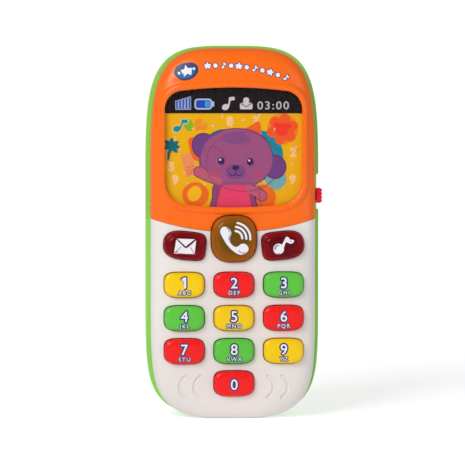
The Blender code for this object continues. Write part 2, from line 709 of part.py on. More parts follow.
def build_speaker(frame_mat, magnet_mat, cone_mat):
    center = (0, SPEAKER_Z)
    r = SPEAKER_R
    profile = [(1.0, 8.0), (9.0, 8.0), (r - 0.9, 11.4), (r, 11.4), (r, 13.2), (r - 1.2, 13.2), (r - 1.2, 12.3),
               (8.6, 8.8), (1.0, 8.8)]
    ring = lathe_y("speaker_frame", center, profile, 28)
    finish_piece(ring, "speaker_frame", frame_mat)
    magnet = lathe_y("speaker_magnet", center, [(7.6, 4.3), (8.0, 4.7), (8.0, 7.3), (7.6, 7.7)], 24)
    finish_piece(magnet, "speaker_magnet", magnet_mat)
    profile = [(1.0, 11.1), (3.6, 10.3), (9.5, 11.9), (12.6, 12.7), (12.6, 13.0), (9.4, 12.3), (3.7, 10.7),
               (1.0, 11.5)]
    cone = lathe_y("speaker_cone", center, profile, 24)
    finish_piece(cone, "speaker_cone", cone_mat, 60.0)


def build_batteries(battery_mat, contact_mat):
    y = BATTERY_Y
    x = BATTERY_X
    r = BATTERY_R
    one = [(r - 0.8, 29.2), (r, 29.6), (r, 72.0), (r - 0.9, 72.6), (1.9, 72.6), (1.8, 73.6)]
    cell = lathe_z("battery_1", (-x, y), one, 20)
    finish_piece(cell, "battery_1", battery_mat)
    two = [(1.8, 26.0), (1.9, 27.0), (r - 0.9, 27.0), (r, 27.6), (r, 70.0), (r - 0.8, 70.4)]
    cell = lathe_z("battery_2", (x, y), two, 20)
    finish_piece(cell, "battery_2", battery_mat)

    bridge = block("contact_bridge", (-11.0, 3.0, 25.2), (11.0, 12.6, 25.6))
    finish_piece(bridge, "contact_bridge", contact_mat)
    for name, cx in (("contact_positive", -x), ("contact_negative", x)):
        plate = block(name, (cx - 4.2, 3.0, 73.9), (cx + 4.2, 12.6, 74.3))
        add(plate, block("tail", (cx - 1.2, -1.2, 73.9), (cx + 1.2, 3.4, 74.3)))
        finish_piece(plate, name, contact_mat)
    for name, cx, z0, z1 in (("contact_spring_bottom", -x, 26.1, 28.6), ("contact_spring_top", x, 71.0, 73.3)):
        path = []
        steps = 26
        for k in range(steps + 1):
            t = 2 * pi * 2.4 * k / steps
            share = k / steps if name.endswith("bottom") else 1 - k / steps
            radius = 3.4 - 1.2 * share
            path.append((cx + radius * cos(t), y + radius * sin(t), z0 + (z1 - z0) * k / steps))
        coil = tube(name, path, 0.3, 6)
        finish_piece(coil, name, contact_mat, 60.0)


def bend(points, steps=8):
    """A smooth line through a start, two handles and an end."""
    p0, p1, p2, p3 = [Vector(p) for p in points]
    path = []
    for k in range(steps + 1):
        t = k / steps
        path.append(tuple(p0 * (1 - t) ** 3 + p1 * 3 * t * (1 - t) ** 2 + p2 * 3 * t * t * (1 - t) + p3 * t ** 3))
    return path


def build_wires(red, black, yellow):
    runs = [
        ("battery_wire_red", red, [(-5.6, -1.9, 74.1), (-5.6, -3.0, 78.0), (-9.0, -1.0, 84.0), (-9.0, -4.2, 86.0)]),
        ("battery_wire_black", black, [(5.6, -1.9, 74.1), (5.6, -3.0, 78.0), (9.0, -1.0, 84.0), (9.0, -4.2, 86.0)]),
        ("speaker_wire_1", yellow, [(-3.0, 9.3, 97.0), (-3.0, 4.0, 94.0), (-3.5, 1.0, 92.0), (-3.5, -4.2, 92.0)]),
        ("speaker_wire_2", yellow, [(3.0, 9.3, 97.0), (3.0, 4.0, 94.0), (3.5, 1.0, 92.0), (3.5, -4.2, 92.0)]),
    ]
    for name, material, points in runs:
        wire = tube(name, bend(points), 0.5, 8)
        finish_piece(wire, name, material, 60.0)


def build_door(door_mat, screw_mat):
    pin_y, pin_z = door_axis()
    radius = (DOOR_Y[1] - DOOR_Y[0]) / 2
    section = [(DOOR_Y[0], DOOR_Z[1]), (DOOR_Y[0], pin_z)]
    for k in range(1, 8):
        t = pi + pi * k / 8
        section.append((pin_y + radius * cos(t), pin_z + radius * sin(t)))
    section += [(DOOR_Y[1], pin_z), (DOOR_Y[1], DOOR_Z[1])]
    half = DOOR_HALF_W
    door = loft("battery_door", [[(-half, y, z) for y, z in section], [(half, y, z) for y, z in section]])
    add(door, tube("pins", [(-half - 1.0, pin_y, pin_z), (half + 1.0, pin_y, pin_z)], DOOR_PIN_R, 12))
    cut(door, lathe_y("screw_hole", (0, DOOR_SCREW_Z), [(1.2, 12.0), (1.2, 18.0)], 12))
    cut(door, lathe_y("head_seat", (0, DOOR_SCREW_Z), [(1.7, 14.5), (1.7, 18.0)], 14))
    for k in range(3):
        z = 66.0 + 2.4 * k
        cut(door, block("grip", (-6.0, DOOR_Y[1] - 0.5, z), (6.0, 18.0, z + 1.0)))
    finish_piece(door, "battery_door", door_mat, 30.0, (0, pin_y, pin_z))
    profile = [(0.3, 9.0), (0.7, 9.6), (0.7, 14.6), (1.45, 14.6), (1.45, 15.0), (1.1, 15.2)]
    screw = lathe_y("battery_door_screw", (0, DOOR_SCREW_Z), profile, 12)
    cross_recess(screw, (0, DOOR_SCREW_Z), 15.2, 0.8, 0.35, 0.4)
    finish_piece(screw, "battery_door_screw", screw_mat, 40.0, (0, pin_y, pin_z))


def build_all():
    clear_scene()
    mats = {
        "front_white": make_material("front_white", (0.80, 0.76, 0.74), 0.35),
        "case_orange": make_material("case_orange", (1.0, 0.17, 0.013), 0.32),
        "case_green": make_material("case_green", (0.13, 0.52, 0.05), 0.34),
        "key_yellow": make_material("key_yellow", (0.92, 0.62, 0.01), 0.3),
        "key_red": make_material("key_red", (0.92, 0.02, 0.02), 0.3),
        "key_green": make_material("key_green", (0.1, 0.58, 0.05), 0.3),
        "button_red": make_material("button_red", (0.32, 0.002, 0.006), 0.12),
        "button_amber": make_material("button_amber", (0.42, 0.14, 0.004), 0.12),
        "lens_clear": make_material("lens_clear", (0.9, 0.9, 0.9), 0.15, 0.0, 0.35),
        "picture_print": make_material("picture_print", (0.85, 0.55, 0.02), 0.4),
        "rubber_grey": make_material("rubber_grey", (0.45, 0.45, 0.43), 0.7),
        "board_green": make_material("board_green", (0.03, 0.22, 0.07), 0.45),
        "chip_black": make_material("chip_black", (0.015, 0.015, 0.015), 0.4),
        "can_dark": make_material("can_dark", (0.03, 0.04, 0.12), 0.3),
        "led_clear": make_material("led_clear", (0.85, 0.85, 0.85), 0.15),
        "switch_steel": make_material("switch_steel", (0.6, 0.6, 0.6), 0.35, 1.0),
        "switch_black": make_material("switch_black", (0.02, 0.02, 0.02), 0.5),
        "knob_red": make_material("knob_red", (0.75, 0.012, 0.03), 0.3),
        "screw_steel": make_material("screw_steel", (0.58, 0.58, 0.6), 0.3, 1.0),
        "contact_nickel": make_material("contact_nickel", (0.7, 0.68, 0.62), 0.25, 1.0),
        "battery_skin": make_material("battery_skin", (0.05, 0.12, 0.28), 0.3),
        "speaker_steel": make_material("speaker_steel", (0.5, 0.5, 0.5), 0.4, 1.0),
        "magnet_dark": make_material("magnet_dark", (0.08, 0.08, 0.085), 0.5),
        "cone_paper": make_material("cone_paper", (0.05, 0.05, 0.05), 0.8),
        "wire_red": make_material("wire_red", (0.7, 0.02, 0.02), 0.45),
        "wire_black": make_material("wire_black", (0.02, 0.02, 0.02), 0.45),
        "wire_yellow": make_material("wire_yellow", (0.8, 0.6, 0.05), 0.45),
    }
    build_front_case(mats["front_white"])
    build_screen_bezel(mats["case_orange"])
    build_rear_case(mats["case_green"])
    build_keys(mats)
    build_picture(mats["lens_clear"], mats["picture_print"])
    build_keypad_mat(mats["rubber_grey"])
    build_pcb(mats["board_green"], mats["chip_black"], mats["can_dark"], mats["screw_steel"], mats["led_clear"])
    build_case_screws(mats["screw_steel"])
    build_switch(mats["switch_steel"], mats["switch_black"], mats["knob_red"])
    build_speaker(mats["speaker_steel"], mats["magnet_dark"], mats["cone_paper"])
    build_batteries(mats["battery_skin"], mats["contact_nickel"])
    build_wires(mats["wire_red"], mats["wire_black"], mats["wire_yellow"])
    build_door(mats["case_green"], mats["screw_steel"])


build_all()
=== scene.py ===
"""Looks of the toy cell phone: fine shells, keys, prints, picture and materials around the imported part.

Lengths here are millimetres in the row frame (front to -Y, +Z up) and are scaled to metres once,
when a mesh is made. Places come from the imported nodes' boxes.
"""

from contextlib import contextmanager
from functools import cache, partial
from math import atan2, cos, degrees, exp, hypot, pi, radians, sin, sqrt

import bmesh
import bpy
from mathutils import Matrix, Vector


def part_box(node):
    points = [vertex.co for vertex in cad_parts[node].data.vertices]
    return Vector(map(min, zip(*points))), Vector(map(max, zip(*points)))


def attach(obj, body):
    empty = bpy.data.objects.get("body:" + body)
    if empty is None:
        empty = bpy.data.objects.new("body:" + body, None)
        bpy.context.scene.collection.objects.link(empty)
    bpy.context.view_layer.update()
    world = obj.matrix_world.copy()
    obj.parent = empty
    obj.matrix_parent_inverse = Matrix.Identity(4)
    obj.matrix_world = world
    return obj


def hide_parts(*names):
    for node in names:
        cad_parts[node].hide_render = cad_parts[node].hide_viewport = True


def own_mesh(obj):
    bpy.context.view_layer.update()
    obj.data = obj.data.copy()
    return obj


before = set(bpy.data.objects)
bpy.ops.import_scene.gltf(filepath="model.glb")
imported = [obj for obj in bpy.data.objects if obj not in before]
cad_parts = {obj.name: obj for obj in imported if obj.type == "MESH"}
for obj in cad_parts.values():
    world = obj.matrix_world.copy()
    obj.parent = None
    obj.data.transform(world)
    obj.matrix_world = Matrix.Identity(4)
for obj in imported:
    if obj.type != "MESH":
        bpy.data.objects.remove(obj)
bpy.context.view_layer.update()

MM = 0.001


@cache
def box_mm(node):
    """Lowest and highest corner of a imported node, in millimetres."""
    lo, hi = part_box(node)
    return [c / MM for c in lo], [c / MM for c in hi]


def center_mm(node):
    lo, hi = box_mm(node)
    return [(a + b) / 2 for a, b in zip(lo, hi)]


# --- driving values
REAR_HALF_W, REAR_BACK, REAR_TOP = box_mm("rear_case")[1]
FRONT_HALF_W = box_mm("front_case")[1][0]
FRONT_TOP = box_mm("screen_bezel")[1][2]
FACE_Y = box_mm("front_case")[0][1]
MID_Z = 73.0
FOOT_DIP = -0.25
EXP_TOP = (3.7, 6.0)
EXP_BOTTOM = (2.85, 8.0)
WALL = 2.0
SEAM_FRONT_Y = 0.85
SEAM_REAR_Y = 1.15
SIDE_Y = -5.5
EDGE_EXP = 9.0
EDGE_POWER = 2.2
SPLIT_MID_Z = 76.25
SPLIT_R = 104.8
SPLIT_HALF_GAP = 0.06

LENS_LO, LENS_HI = box_mm("picture_lens")
CARD_GROW = 1.6
WIN_HALF_W = LENS_HI[0] - CARD_GROW
WIN_TOP_Z = LENS_HI[2] - CARD_GROW
WIN_BOTTOM_Z = LENS_LO[2] + CARD_GROW
WIN_TOP_SAG = 2.4
WIN_BOTTOM_SAG = 2.4
WIN_R_TOP = 7.5
WIN_R_BOTTOM = 9.5
CARD_Y = box_mm("picture_card")[0][1]
BAND_BOTTOM_Z = 124.3

KEY_FLANGE_OUT = 0.85
KEY_HOLE_GAP = 0.32
BUTTON_HOLE_GAP = 0.3
SIDE_TILT = 6.0
HOLE_LIP = 0.22

SMOOTH_ANGLE = 18.0
SHARP_ANGLE = 30.0
MERGE = 0.0005
LATHE_ANGLE = 35.0
CUT_FRONT_Y = -30
CUT_BACK_Y = 30
CUT_OUT_Y = 20.0
DOOR_CUT_Y = 18.0
SPLIT_SIDE = 45.0
SPLIT_TOP = 175.0
SPLIT_BOTTOM = -20.0
INNER_R = 5.0


# --- materials
def srgb(r, g, b):
    """An 8-bit display colour as linear values."""
    out = []
    for c in (r, g, b):
        c = c / 255
        out.append(c / 12.92 if c <= 0.04045 else ((c + 0.055) / 1.055) ** 2.4)
    return (out[0], out[1], out[2], 1.0)


WHITE = (1.0, 1.0, 1.0, 1.0)


class Nodes:
    """Short way to add linked shader nodes to a new material."""

    def __init__(self, name):
        self.mat = bpy.data.materials.new(name)
        self.mat.use_nodes = True
        self.tree = self.mat.node_tree
        self.shader = self.tree.nodes["Principled BSDF"]
        self.output = self.tree.nodes["Material Output"]

    def add(self, kind, inputs=(), **values):
        """A new node; inputs is a list of (socket, value), where a value may be another node's output."""
        node = self.tree.nodes.new("ShaderNode" + kind)
        for key, value in values.items():
            setattr(node, key, value)
        for key, value in inputs:
            self.feed(node.inputs[key], value)
        return node

    def feed(self, socket, value):
        if isinstance(value, bpy.types.NodeSocket):
            self.tree.links.new(value, socket)
        else:
            socket.default_value = value

    def set(self, **sockets):
        """Feed the shader's inputs; Base_Color stands for "Base Color"."""
        for key, value in sockets.items():
            self.feed(self.shader.inputs[key.replace("_", " ")], value)

    def coords(self):
        return self.add("TexCoord").outputs["Object"]

    def noise(self, scale, detail=3.0, rough=0.55):
        inputs = [("Scale", scale), ("Detail", detail), ("Roughness", rough), ("Vector", self.coords())]
        return self.add("TexNoise", inputs).outputs["Fac"]

    def remap(self, value, lo, hi, a=0.3, b=0.7):
        """Value from the range a..b to the range lo..hi."""
        inputs = [("From Min", a), ("From Max", b), ("To Min", lo), ("To Max", hi), ("Value", value)]
        return self.add("MapRange", inputs).outputs["Result"]

    def bump(self, height, strength, distance):
        inputs = [("Strength", strength), ("Distance", distance), ("Height", height)]
        return self.add("Bump", inputs).outputs["Normal"]

    def ribs(self):
        """Fine level ribs, as a flip picture has."""
        inputs = [("Scale", 400.0), ("Vector", self.coords())]
        return self.add("TexWave", inputs, wave_type='BANDS', bands_direction='Z').outputs["Fac"]

    def math(self, operation, one, two):
        return self.add("Math", [(0, one), (1, two)], operation=operation).outputs[0]

    def length(self, vector):
        return self.add("VectorMath", [(0, vector)], operation='LENGTH').outputs["Value"]


def mix_color(nodes, fac, one, two):
    """A colour that goes from one to two as fac goes from 0 to 1."""
    return nodes.add("Mix", [(0, fac), (6, one), (7, two)], data_type="RGBA").outputs[2]


def shade(color, factor):
    return (color[0] * factor, color[1] * factor, color[2] * factor, 1.0)


def moulded_plastic(name, color, rough=0.33, grain=0.02, gloss=0.22):
    """Injection-moulded plastic: faint flow marks in the colour, fine grain in gloss and surface.

    gloss is the shader's specular level: low, so that the colours stay full under the pale studio.
    """
    n = Nodes(name)
    cloud = n.remap(n.noise(28.0, 2.0), 0.0, 1.0, 0.35, 0.65)
    n.set(Base_Color=mix_color(n, cloud, shade(color, 0.965), shade(color, 1.02)),
          Roughness=n.remap(n.noise(420.0, 4.0), rough - 0.05, rough + 0.06),
          Normal=n.bump(n.noise(1500.0, 3.0, 0.6), grain, 0.0002),
          IOR=1.5, Specular_IOR_Level=gloss)
    return n.mat


def tinted_plastic(name, rim, core, cap):
    """Clear tinted plastic cap with a glossy skin: its colour goes from the core colour in the middle to a
    lighter rim colour, a painted glow of light coming through the thin edge.
    """
    n = Nodes(name)
    cx, cz = key_center(cap)
    half = key_half(cap)
    inputs = [("Location", (-cx / half[0], 0.0, -cz / half[1])),
              ("Scale", (1 / (half[0] * MM), 0.0, 1 / (half[1] * MM))), ("Vector", n.coords())]
    reach = n.length(n.add("Mapping", inputs).outputs["Vector"])
    # Painted glow: the colour lightens from the middle out to the rim, standing in for light that comes
    # through the thin edge.
    edge = n.remap(reach, 0.0, 1.0, 0.55, 1.15)
    cloud = n.remap(n.noise(160.0, 2.0), 0.85, 1.0, 0.35, 0.65)
    n.set(Base_Color=mix_color(n, n.math('MULTIPLY', edge, cloud), core, rim),
          Roughness=n.remap(n.noise(600.0, 2.0), 0.1, 0.17),
          IOR=1.49, Specular_IOR_Level=0.1, Coat_Weight=0.1, Coat_Roughness=0.04,
          Subsurface_Weight=0.25, Subsurface_Scale=0.002, Subsurface_Radius=(1.0, 0.4, 0.2))
    return n.mat


def ink(name, color):
    """Pad-printed ink, a little uneven."""
    n = Nodes(name)
    speck = n.remap(n.noise(2600.0, 2.0), 0.0, 1.0, 0.3, 0.7)
    n.set(Base_Color=mix_color(n, speck, shade(color, 0.95), color),
          Roughness=n.remap(n.noise(900.0, 2.0), 0.34, 0.46))
    return n.mat


def metal(name, color, rough):
    n = Nodes(name)
    n.set(Base_Color=mix_color(n, n.noise(150.0, 3.0), shade(color, 0.85), color),
          Roughness=n.remap(n.noise(500.0, 4.0), rough - 0.08, rough + 0.12),
          Normal=n.bump(n.noise(1000.0, 2.0), 0.05, 0.0001), Metallic=1.0)
    return n.mat


# --- mesh making
def add_object(name, data):
    obj = bpy.data.objects.new(name, data)
    bpy.context.scene.collection.objects.link(obj)
    return obj


@contextmanager
def editing(mesh):
    """The mesh as a bmesh, written back at the end."""
    work = bmesh.new()
    work.from_mesh(mesh)
    yield work
    work.to_mesh(mesh)
    work.free()


def mesh_object(name, verts, faces, material=None, smooth_angle=SMOOTH_ANGLE):
    """An object from millimetre points, normals outwards, edges sharper than the angle kept hard."""
    mesh = bpy.data.meshes.new(name)
    mesh.from_pydata([(x * MM, y * MM, z * MM) for x, y, z in verts], [], faces)
    with editing(mesh) as work:
        bmesh.ops.recalc_face_normals(work, faces=work.faces)
    obj = add_object(name, mesh)
    set_smooth(obj, smooth_angle)
    if material is not None:
        obj.data.materials.append(material)
    return obj


def set_smooth(obj, angle):
    with editing(obj.data) as work:
        for face in work.faces:
            face.smooth = True
        for edge in work.edges:
            if len(edge.link_faces) == 2:
                edge.smooth = edge.calc_face_angle(0.0) < radians(angle)


def loft(name, rings, material=None, closed=False, smooth_angle=SMOOTH_ANGLE):
    """Skin equal rings in order: capped at both ends, or joined end to start when closed."""
    count = len(rings[0])
    verts = [p for ring in rings for p in ring]
    faces = []
    total = len(rings)
    for k in range(total if closed else total - 1):
        m = (k + 1) % total
        for i in range(count):
            j = (i + 1) % count
            faces.append((k * count + i, k * count + j, m * count + j, m * count + i))
    if not closed:
        faces.append(tuple(range(count)))
        faces.append(tuple((total - 1) * count + i for i in range(count)))
    return mesh_object(name, verts, faces, material, smooth_angle)


def at_y(loop, y):
    return [(x, y, z) for x, z in loop]


def prism_y(name, loop, y0, y1):
    return loft(name, [at_y(loop, y0), at_y(loop, y1)])


def block(name, lo, hi):
    loop = [(lo[0], lo[2]), (hi[0], lo[2]), (hi[0], hi[2]), (lo[0], hi[2])]
    return prism_y(name, loop, lo[1], hi[1])


def circle(cx, cz, r, count, phase=0.0):
    turns = [2 * pi * (i + phase) / count for i in range(count)]
    return [(cx + r * cos(t), cz + r * sin(t)) for t in turns]


def lathe_y(name, center, profile, count=48, material=None):
    """Rings about a line parallel to Y: profile is (radius, y), center is (x, z)."""
    rings = [at_y(circle(*center, r, count, 0.5), y) for r, y in profile]
    return loft(name, rings, material, False, LATHE_ANGLE)


def lathe_x(name, center, profile, count):
    """Rings about a line parallel to X: profile is (radius, x), center is (y, z)."""
    return loft(name, [[(x, y, z) for y, z in circle(*center, r, count)] for r, x in profile])


def combine(base, tools, operation='DIFFERENCE'):
    """Exact Boolean of base with one or several tools that don't meet each other."""
    if not isinstance(tools, list):
        tools = [tools]
    tool = join(tools)
    mod = base.modifiers.new("cut", 'BOOLEAN')
    mod.operation = operation
    mod.solver = 'EXACT'
    mod.object = tool
    bpy.context.view_layer.update()
    graph = bpy.context.evaluated_depsgraph_get()
    mesh = bpy.data.meshes.new_from_object(base.evaluated_get(graph))
    base.modifiers.clear()
    base.data = mesh
    bpy.data.objects.remove(tool, do_unlink=True)


def join(objects):
    """One object out of several, keeping the first one's name."""
    first, *others = objects
    if others:
        with editing(first.data) as work:
            for obj in others:
                work.from_mesh(obj.data)
        for obj in others:
            bpy.data.objects.remove(obj, do_unlink=True)
    return first


def finish_shell(obj, name, material, owner, angle=SMOOTH_ANGLE):
    """Clean a cut shell up, name it, and place it: owner is (body, slot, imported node)."""
    obj.name = name
    obj.data.name = name
    obj.data.materials.clear()
    obj.data.materials.append(material)
    with editing(obj.data) as work:
        bmesh.ops.remove_doubles(work, verts=work.verts, dist=MERGE * MM)
        for face in work.faces:
            face.material_index = 0
    set_smooth(obj, angle)
    place(obj, *owner)


def place(obj, body, slot_name, *nodes):
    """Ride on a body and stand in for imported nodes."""
    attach(obj, body)
    if nodes:
        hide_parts(*nodes)


# --- outlines
def corner_angle(u, exponent):
    """Turns an even step u in 0..1 into the angle that spaces a superellipse evenly."""
    p = exponent / 2
    a = u ** p
    b = (1 - u) ** p
    return pi / 2 * a / (a + b)


def rounded_loop(half, exponents, per_corner):
    """A superellipse in XZ about the origin; exponents go round from the upper right corner."""
    loop = []
    for n, (sx, sz) in zip(exponents, ((1, 1), (-1, 1), (-1, -1), (1, -1))):
        steps = [k / per_corner for k in range(per_corner)]
        if sx * sz < 0:
            steps = [1 - u for u in steps]
        for u in steps:
            t = corner_angle(u, n)
            loop.append((sx * half[0] * cos(t) ** (2 / n), sz * half[1] * sin(t) ** (2 / n)))
    return loop


def even_quarter(exps, a, b, count, fine=800):
    """(x, z) shares of one quarter of a superellipse, from the side to the end, evenly spaced along it."""
    power = sum(exps) / 2
    shares = []
    run = [0.0]
    for k in range(fine + 1):
        t = corner_angle(k / fine, power)
        shares.append((max(cos(t), 0.0) ** (2 / exps[0]), sin(t) ** (2 / exps[1])))
        if k:
            (x0, z0), (x1, z1) = shares[-2:]
            run.append(run[-1] + hypot(a * (x1 - x0), b * (z1 - z0)))
    out = []
    j = 0
    for k in range(count + 1):
        want = run[-1] * k / count
        while j < fine and run[j + 1] < want:
            j += 1
        out.append(shares[min(j + 1, fine)] if k else shares[0])
    return out


def unit_ring(per_corner=84):
    """Shares of the whole phone outline, anticlockwise from the right side."""
    upper = even_quarter(EXP_TOP, REAR_HALF_W, REAR_TOP - MID_Z, per_corner)
    lower = even_quarter(EXP_BOTTOM, REAR_HALF_W, MID_Z - FOOT_DIP, per_corner)
    ring = upper[:-1]
    ring += [(-x, z) for x, z in upper[:0:-1]]
    ring += [(-x, -z) for x, z in lower[:-1]]
    ring += [(x, -z) for x, z in lower[:0:-1]]
    return ring


UNIT_RING = unit_ring()


def case_ring(half_w, top, inset, y):
    a = half_w - inset
    up = top - MID_Z - inset
    down = MID_Z - FOOT_DIP - inset
    return [(a * x, y, max(MID_Z + (up if z >= 0 else down) * z, inset)) for x, z in UNIT_RING]


front_ring = partial(case_ring, FRONT_HALF_W, FRONT_TOP)
rear_ring = partial(case_ring, REAR_HALF_W, REAR_TOP)


def inner_rings(ring, y, way):
    """Rounded inside of a shell, from its side wall to its flat inner face."""
    turns = [pi / 2 * k / 8 for k in range(9)]
    return [ring(INNER_R + WALL - INNER_R * cos(t), y + way * INNER_R * sin(t)) for t in turns]


def edge_depth(u, half_w, depth):
    """How far the face has come forward at inset u from the side wall."""
    u = min(u, half_w)
    return depth * (1 - (1 - u / half_w) ** EDGE_EXP) ** (1 / EDGE_POWER)


def largest_inset(inside, limit, rounds):
    """The inset whose outline passes through a point: inside(u) says whether outline u still holds it."""
    lo = 0.0
    hi = limit - 0.01
    for _ in range(rounds):
        u = (lo + hi) / 2
        if inside(u):
            lo = u
        else:
            hi = u
    return lo


def face_inset(x, z):
    """Inset of the outline that passes through a point of the front face."""
    across, upright = EXP_TOP if z > MID_Z else EXP_BOTTOM
    rise = FRONT_TOP - MID_Z if z > MID_Z else MID_Z - FOOT_DIP

    def inside(u):
        return (abs(x) / (FRONT_HALF_W - u)) ** across + (abs(z - MID_Z) / (rise - u)) ** upright <= 1

    return largest_inset(inside, FRONT_HALF_W, 36)


FACE_DEPTH = SIDE_Y - FACE_Y + 0.1


def face_y(x, z):
    return SIDE_Y - edge_depth(face_inset(x, z), FRONT_HALF_W, FACE_DEPTH)


def on_face(loop, rise):
    """A loop laid on the front face and moved back by rise."""
    return [(x, face_y(x, z) + rise, z) for x, z in loop]


def ease_insets(limit, steps, power=2.2):
    return [limit * (k / steps) ** power for k in range(steps + 1)]


def split_z(x):
    return SPLIT_MID_Z + SPLIT_R - sqrt(SPLIT_R ** 2 - x * x)


def split_loop(upper, steps=60):
    """Outline of everything above the curved seam between the front mouldings, or below it."""
    side = SPLIT_SIDE
    gap = SPLIT_HALF_GAP if upper else -SPLIT_HALF_GAP
    seam = []
    for k in range(steps + 1):
        x = -side + 2 * side * k / steps
        seam.append((x, split_z(x) + gap))
    if upper:
        return seam + [(side, SPLIT_TOP), (-side, SPLIT_TOP)]
    return [(-side, SPLIT_BOTTOM), (side, SPLIT_BOTTOM)] + seam[::-1]


def window_loop(grow, corner_steps=14, edge_steps=24):
    """The picture window: arched top, bowed bottom, rounded corners."""
    half = WIN_HALF_W + grow
    r_top = WIN_R_TOP + grow
    r_bot = WIN_R_BOTTOM + grow

    def top_z(x):
        return WIN_TOP_Z + grow - WIN_TOP_SAG * (x / half) ** 2

    def bottom_z(x):
        return WIN_BOTTOM_Z - grow + WIN_BOTTOM_SAG * (x / half) ** 2

    def corner(cx, cz, r, start):
        """Quarter turn between a bowed edge and a side wall, without its ends."""
        turns = [start + (pi / 2) * k / corner_steps for k in range(1, corner_steps)]
        return [(cx + r * cos(t), cz + r * sin(t)) for t in turns]

    low_x = half - r_bot
    high_x = half - r_top
    low = bottom_z(low_x) + r_bot
    high = top_z(high_x) - r_top
    loop = []
    for k in range(edge_steps + 1):
        x = low_x * (2 * k / edge_steps - 1)
        loop.append((x, bottom_z(x)))
    loop += corner(low_x, low, r_bot, -pi / 2)
    loop += [(half, low), (half, (low + high) / 2), (half, high)]
    loop += corner(high_x, high, r_top, 0.0)
    for k in range(edge_steps + 1):
        x = high_x * (1 - 2 * k / edge_steps)
        loop.append((x, top_z(x)))
    loop += corner(-high_x, high, r_top, pi / 2)
    loop += [(-half, high), (-half, (low + high) / 2), (-half, low)]
    return loop + corner(-low_x, low, r_bot, pi)


# --- keys and their holes
KEYS = {
    "mail_button": dict(exps=(4.6, 2.7, 2.6, 4.6), tilt=-SIDE_TILT, gap=BUTTON_HOLE_GAP),
    "music_button": dict(exps=(2.7, 4.6, 4.6, 2.6), tilt=SIDE_TILT, gap=BUTTON_HOLE_GAP),
    "call_button": dict(exps=(2.8, 2.8, 2.75, 2.75), tilt=0.0, gap=BUTTON_HOLE_GAP),
}
for digit in range(10):
    KEYS["key_%d" % digit] = dict(exps=(3.9, 3.9, 3.3, 3.3), tilt=0.0, gap=KEY_HOLE_GAP)

SIDE_HALF = (8.4, 5.55)
CALL_HALF = (9.15, 9.35)
KEY_HALF = (8.0, 5.0)


def key_half(name):
    if name == "call_button":
        return CALL_HALF
    return KEY_HALF if name.startswith("key") else SIDE_HALF


def key_center(name):
    """Middle of the cap: the flange of a side button stands out a little more on its outer side."""
    x, _, z = center_mm(name)
    shift = {"mail_button": 0.2, "music_button": -0.2}.get(name, 0.0)
    return x + shift, z


def key_loop(name, grow, per_corner=24):
    """Outline of a cap in XZ, grown by a distance."""
    half = key_half(name)
    loop = rounded_loop((half[0] + grow, half[1] + grow), KEYS[name]["exps"], per_corner)
    return move(loop, *key_center(name), 1.0, radians(KEYS[name]["tilt"]))


def hole_cutter(name):
    """Cutter for a cap's hole, flared where it meets the face so that the lip is rounded."""
    gap = KEYS[name]["gap"]
    radius = HOLE_LIP
    rings = [on_face(key_loop(name, gap + radius), -3.0)]
    for k in range(6):
        t = pi / 2 * k / 5
        rings.append(on_face(key_loop(name, gap + radius - radius * sin(t)), radius * (1 - cos(t))))
    rings.append(at_y(key_loop(name, gap), -6.0))
    return loft("hole_" + name, rings)


# How a cap falls off to its edge: depth of the fall, how late it starts, and a shallow ring for clear caps.
CAP_SHAPE = {"key": (1.75, 5.5, 0.0), "mail": (1.9, 5.0, 0.3),
             "music": (1.9, 5.0, 0.3), "call": (2.0, 8.0, 0.32)}
RING_INSET = 1.75
RING_WIDTH = 0.45


def cap_y(name, u):
    """Height of a cap at an inset from its edge."""
    depth, exponent, ring = CAP_SHAPE[name.split("_")[0]]
    half = min(key_half(name))
    u = min(u, half)
    rise = depth * (1 - (1 - u / half) ** exponent) ** (1 / EDGE_POWER)
    top = box_mm(name)[0][1]
    return top + depth - rise + ring * exp(-((u - RING_INSET) / RING_WIDTH) ** 2)


def build_key(name, material, slot_name):
    back = box_mm(name)[1][1]
    flange = key_loop(name, KEY_FLANGE_OUT - 0.25)
    rings = [at_y(flange, back), at_y(flange, back - 1.0), at_y(key_loop(name, 0.0), back - 1.0)]
    half = min(key_half(name))
    for u in ease_insets(half - 0.15, 34, 1.9):
        rings.append(at_y(key_loop(name, -u), cap_y(name, u)))
    place(loft(name + "_cap", rings, material, False, SHARP_ANGLE), name + "_body", slot_name, name)


def key_inset(name, x, z):
    """Inset of the cap outline through a point."""
    half = key_half(name)
    cx, cz = key_center(name)
    dx, dz = move([(x - cx, z - cz)], 0.0, 0.0, 1.0, -radians(KEYS[name]["tilt"]))[0]
    corner = (0 if dz >= 0 else 3) if dx >= 0 else (1 if dz >= 0 else 2)
    n = KEYS[name]["exps"][corner]

    def inside(u):
        return (abs(dx) / (half[0] - u)) ** n + (abs(dz) / (half[1] - u)) ** n <= 1

    return largest_inset(inside, min(half), 26)


def cap_surface(name):
    """Function (x, z) -> y of the top of a cap."""
    return lambda x, z: cap_y(name, key_inset(name, x, z))


# --- flat artwork
# Step between overlapping pieces of one print, so that no two lie on the same level.
LEVEL = 0.0006


def move(loop, dx, dz, scale=1.0, turn=0.0):
    return [(dx + scale * (x * cos(turn) - z * sin(turn)), dz + scale * (x * sin(turn) + z * cos(turn)))
            for x, z in loop]


def disc(cx, cz, r, rz=None, turn=0.0):
    rz = r if rz is None else rz
    return move([(r * c, rz * d) for c, d in circle(0.0, 0.0, 1.0, 40)], cx, cz, 1.0, turn)


def star(cx, cz, r, inner, turn):
    loop = []
    for i in range(10):
        reach = r * inner if i % 2 else r
        t = turn + pi * i / 5
        loop.append((cx + reach * cos(t), cz + reach * sin(t)))
    return loop


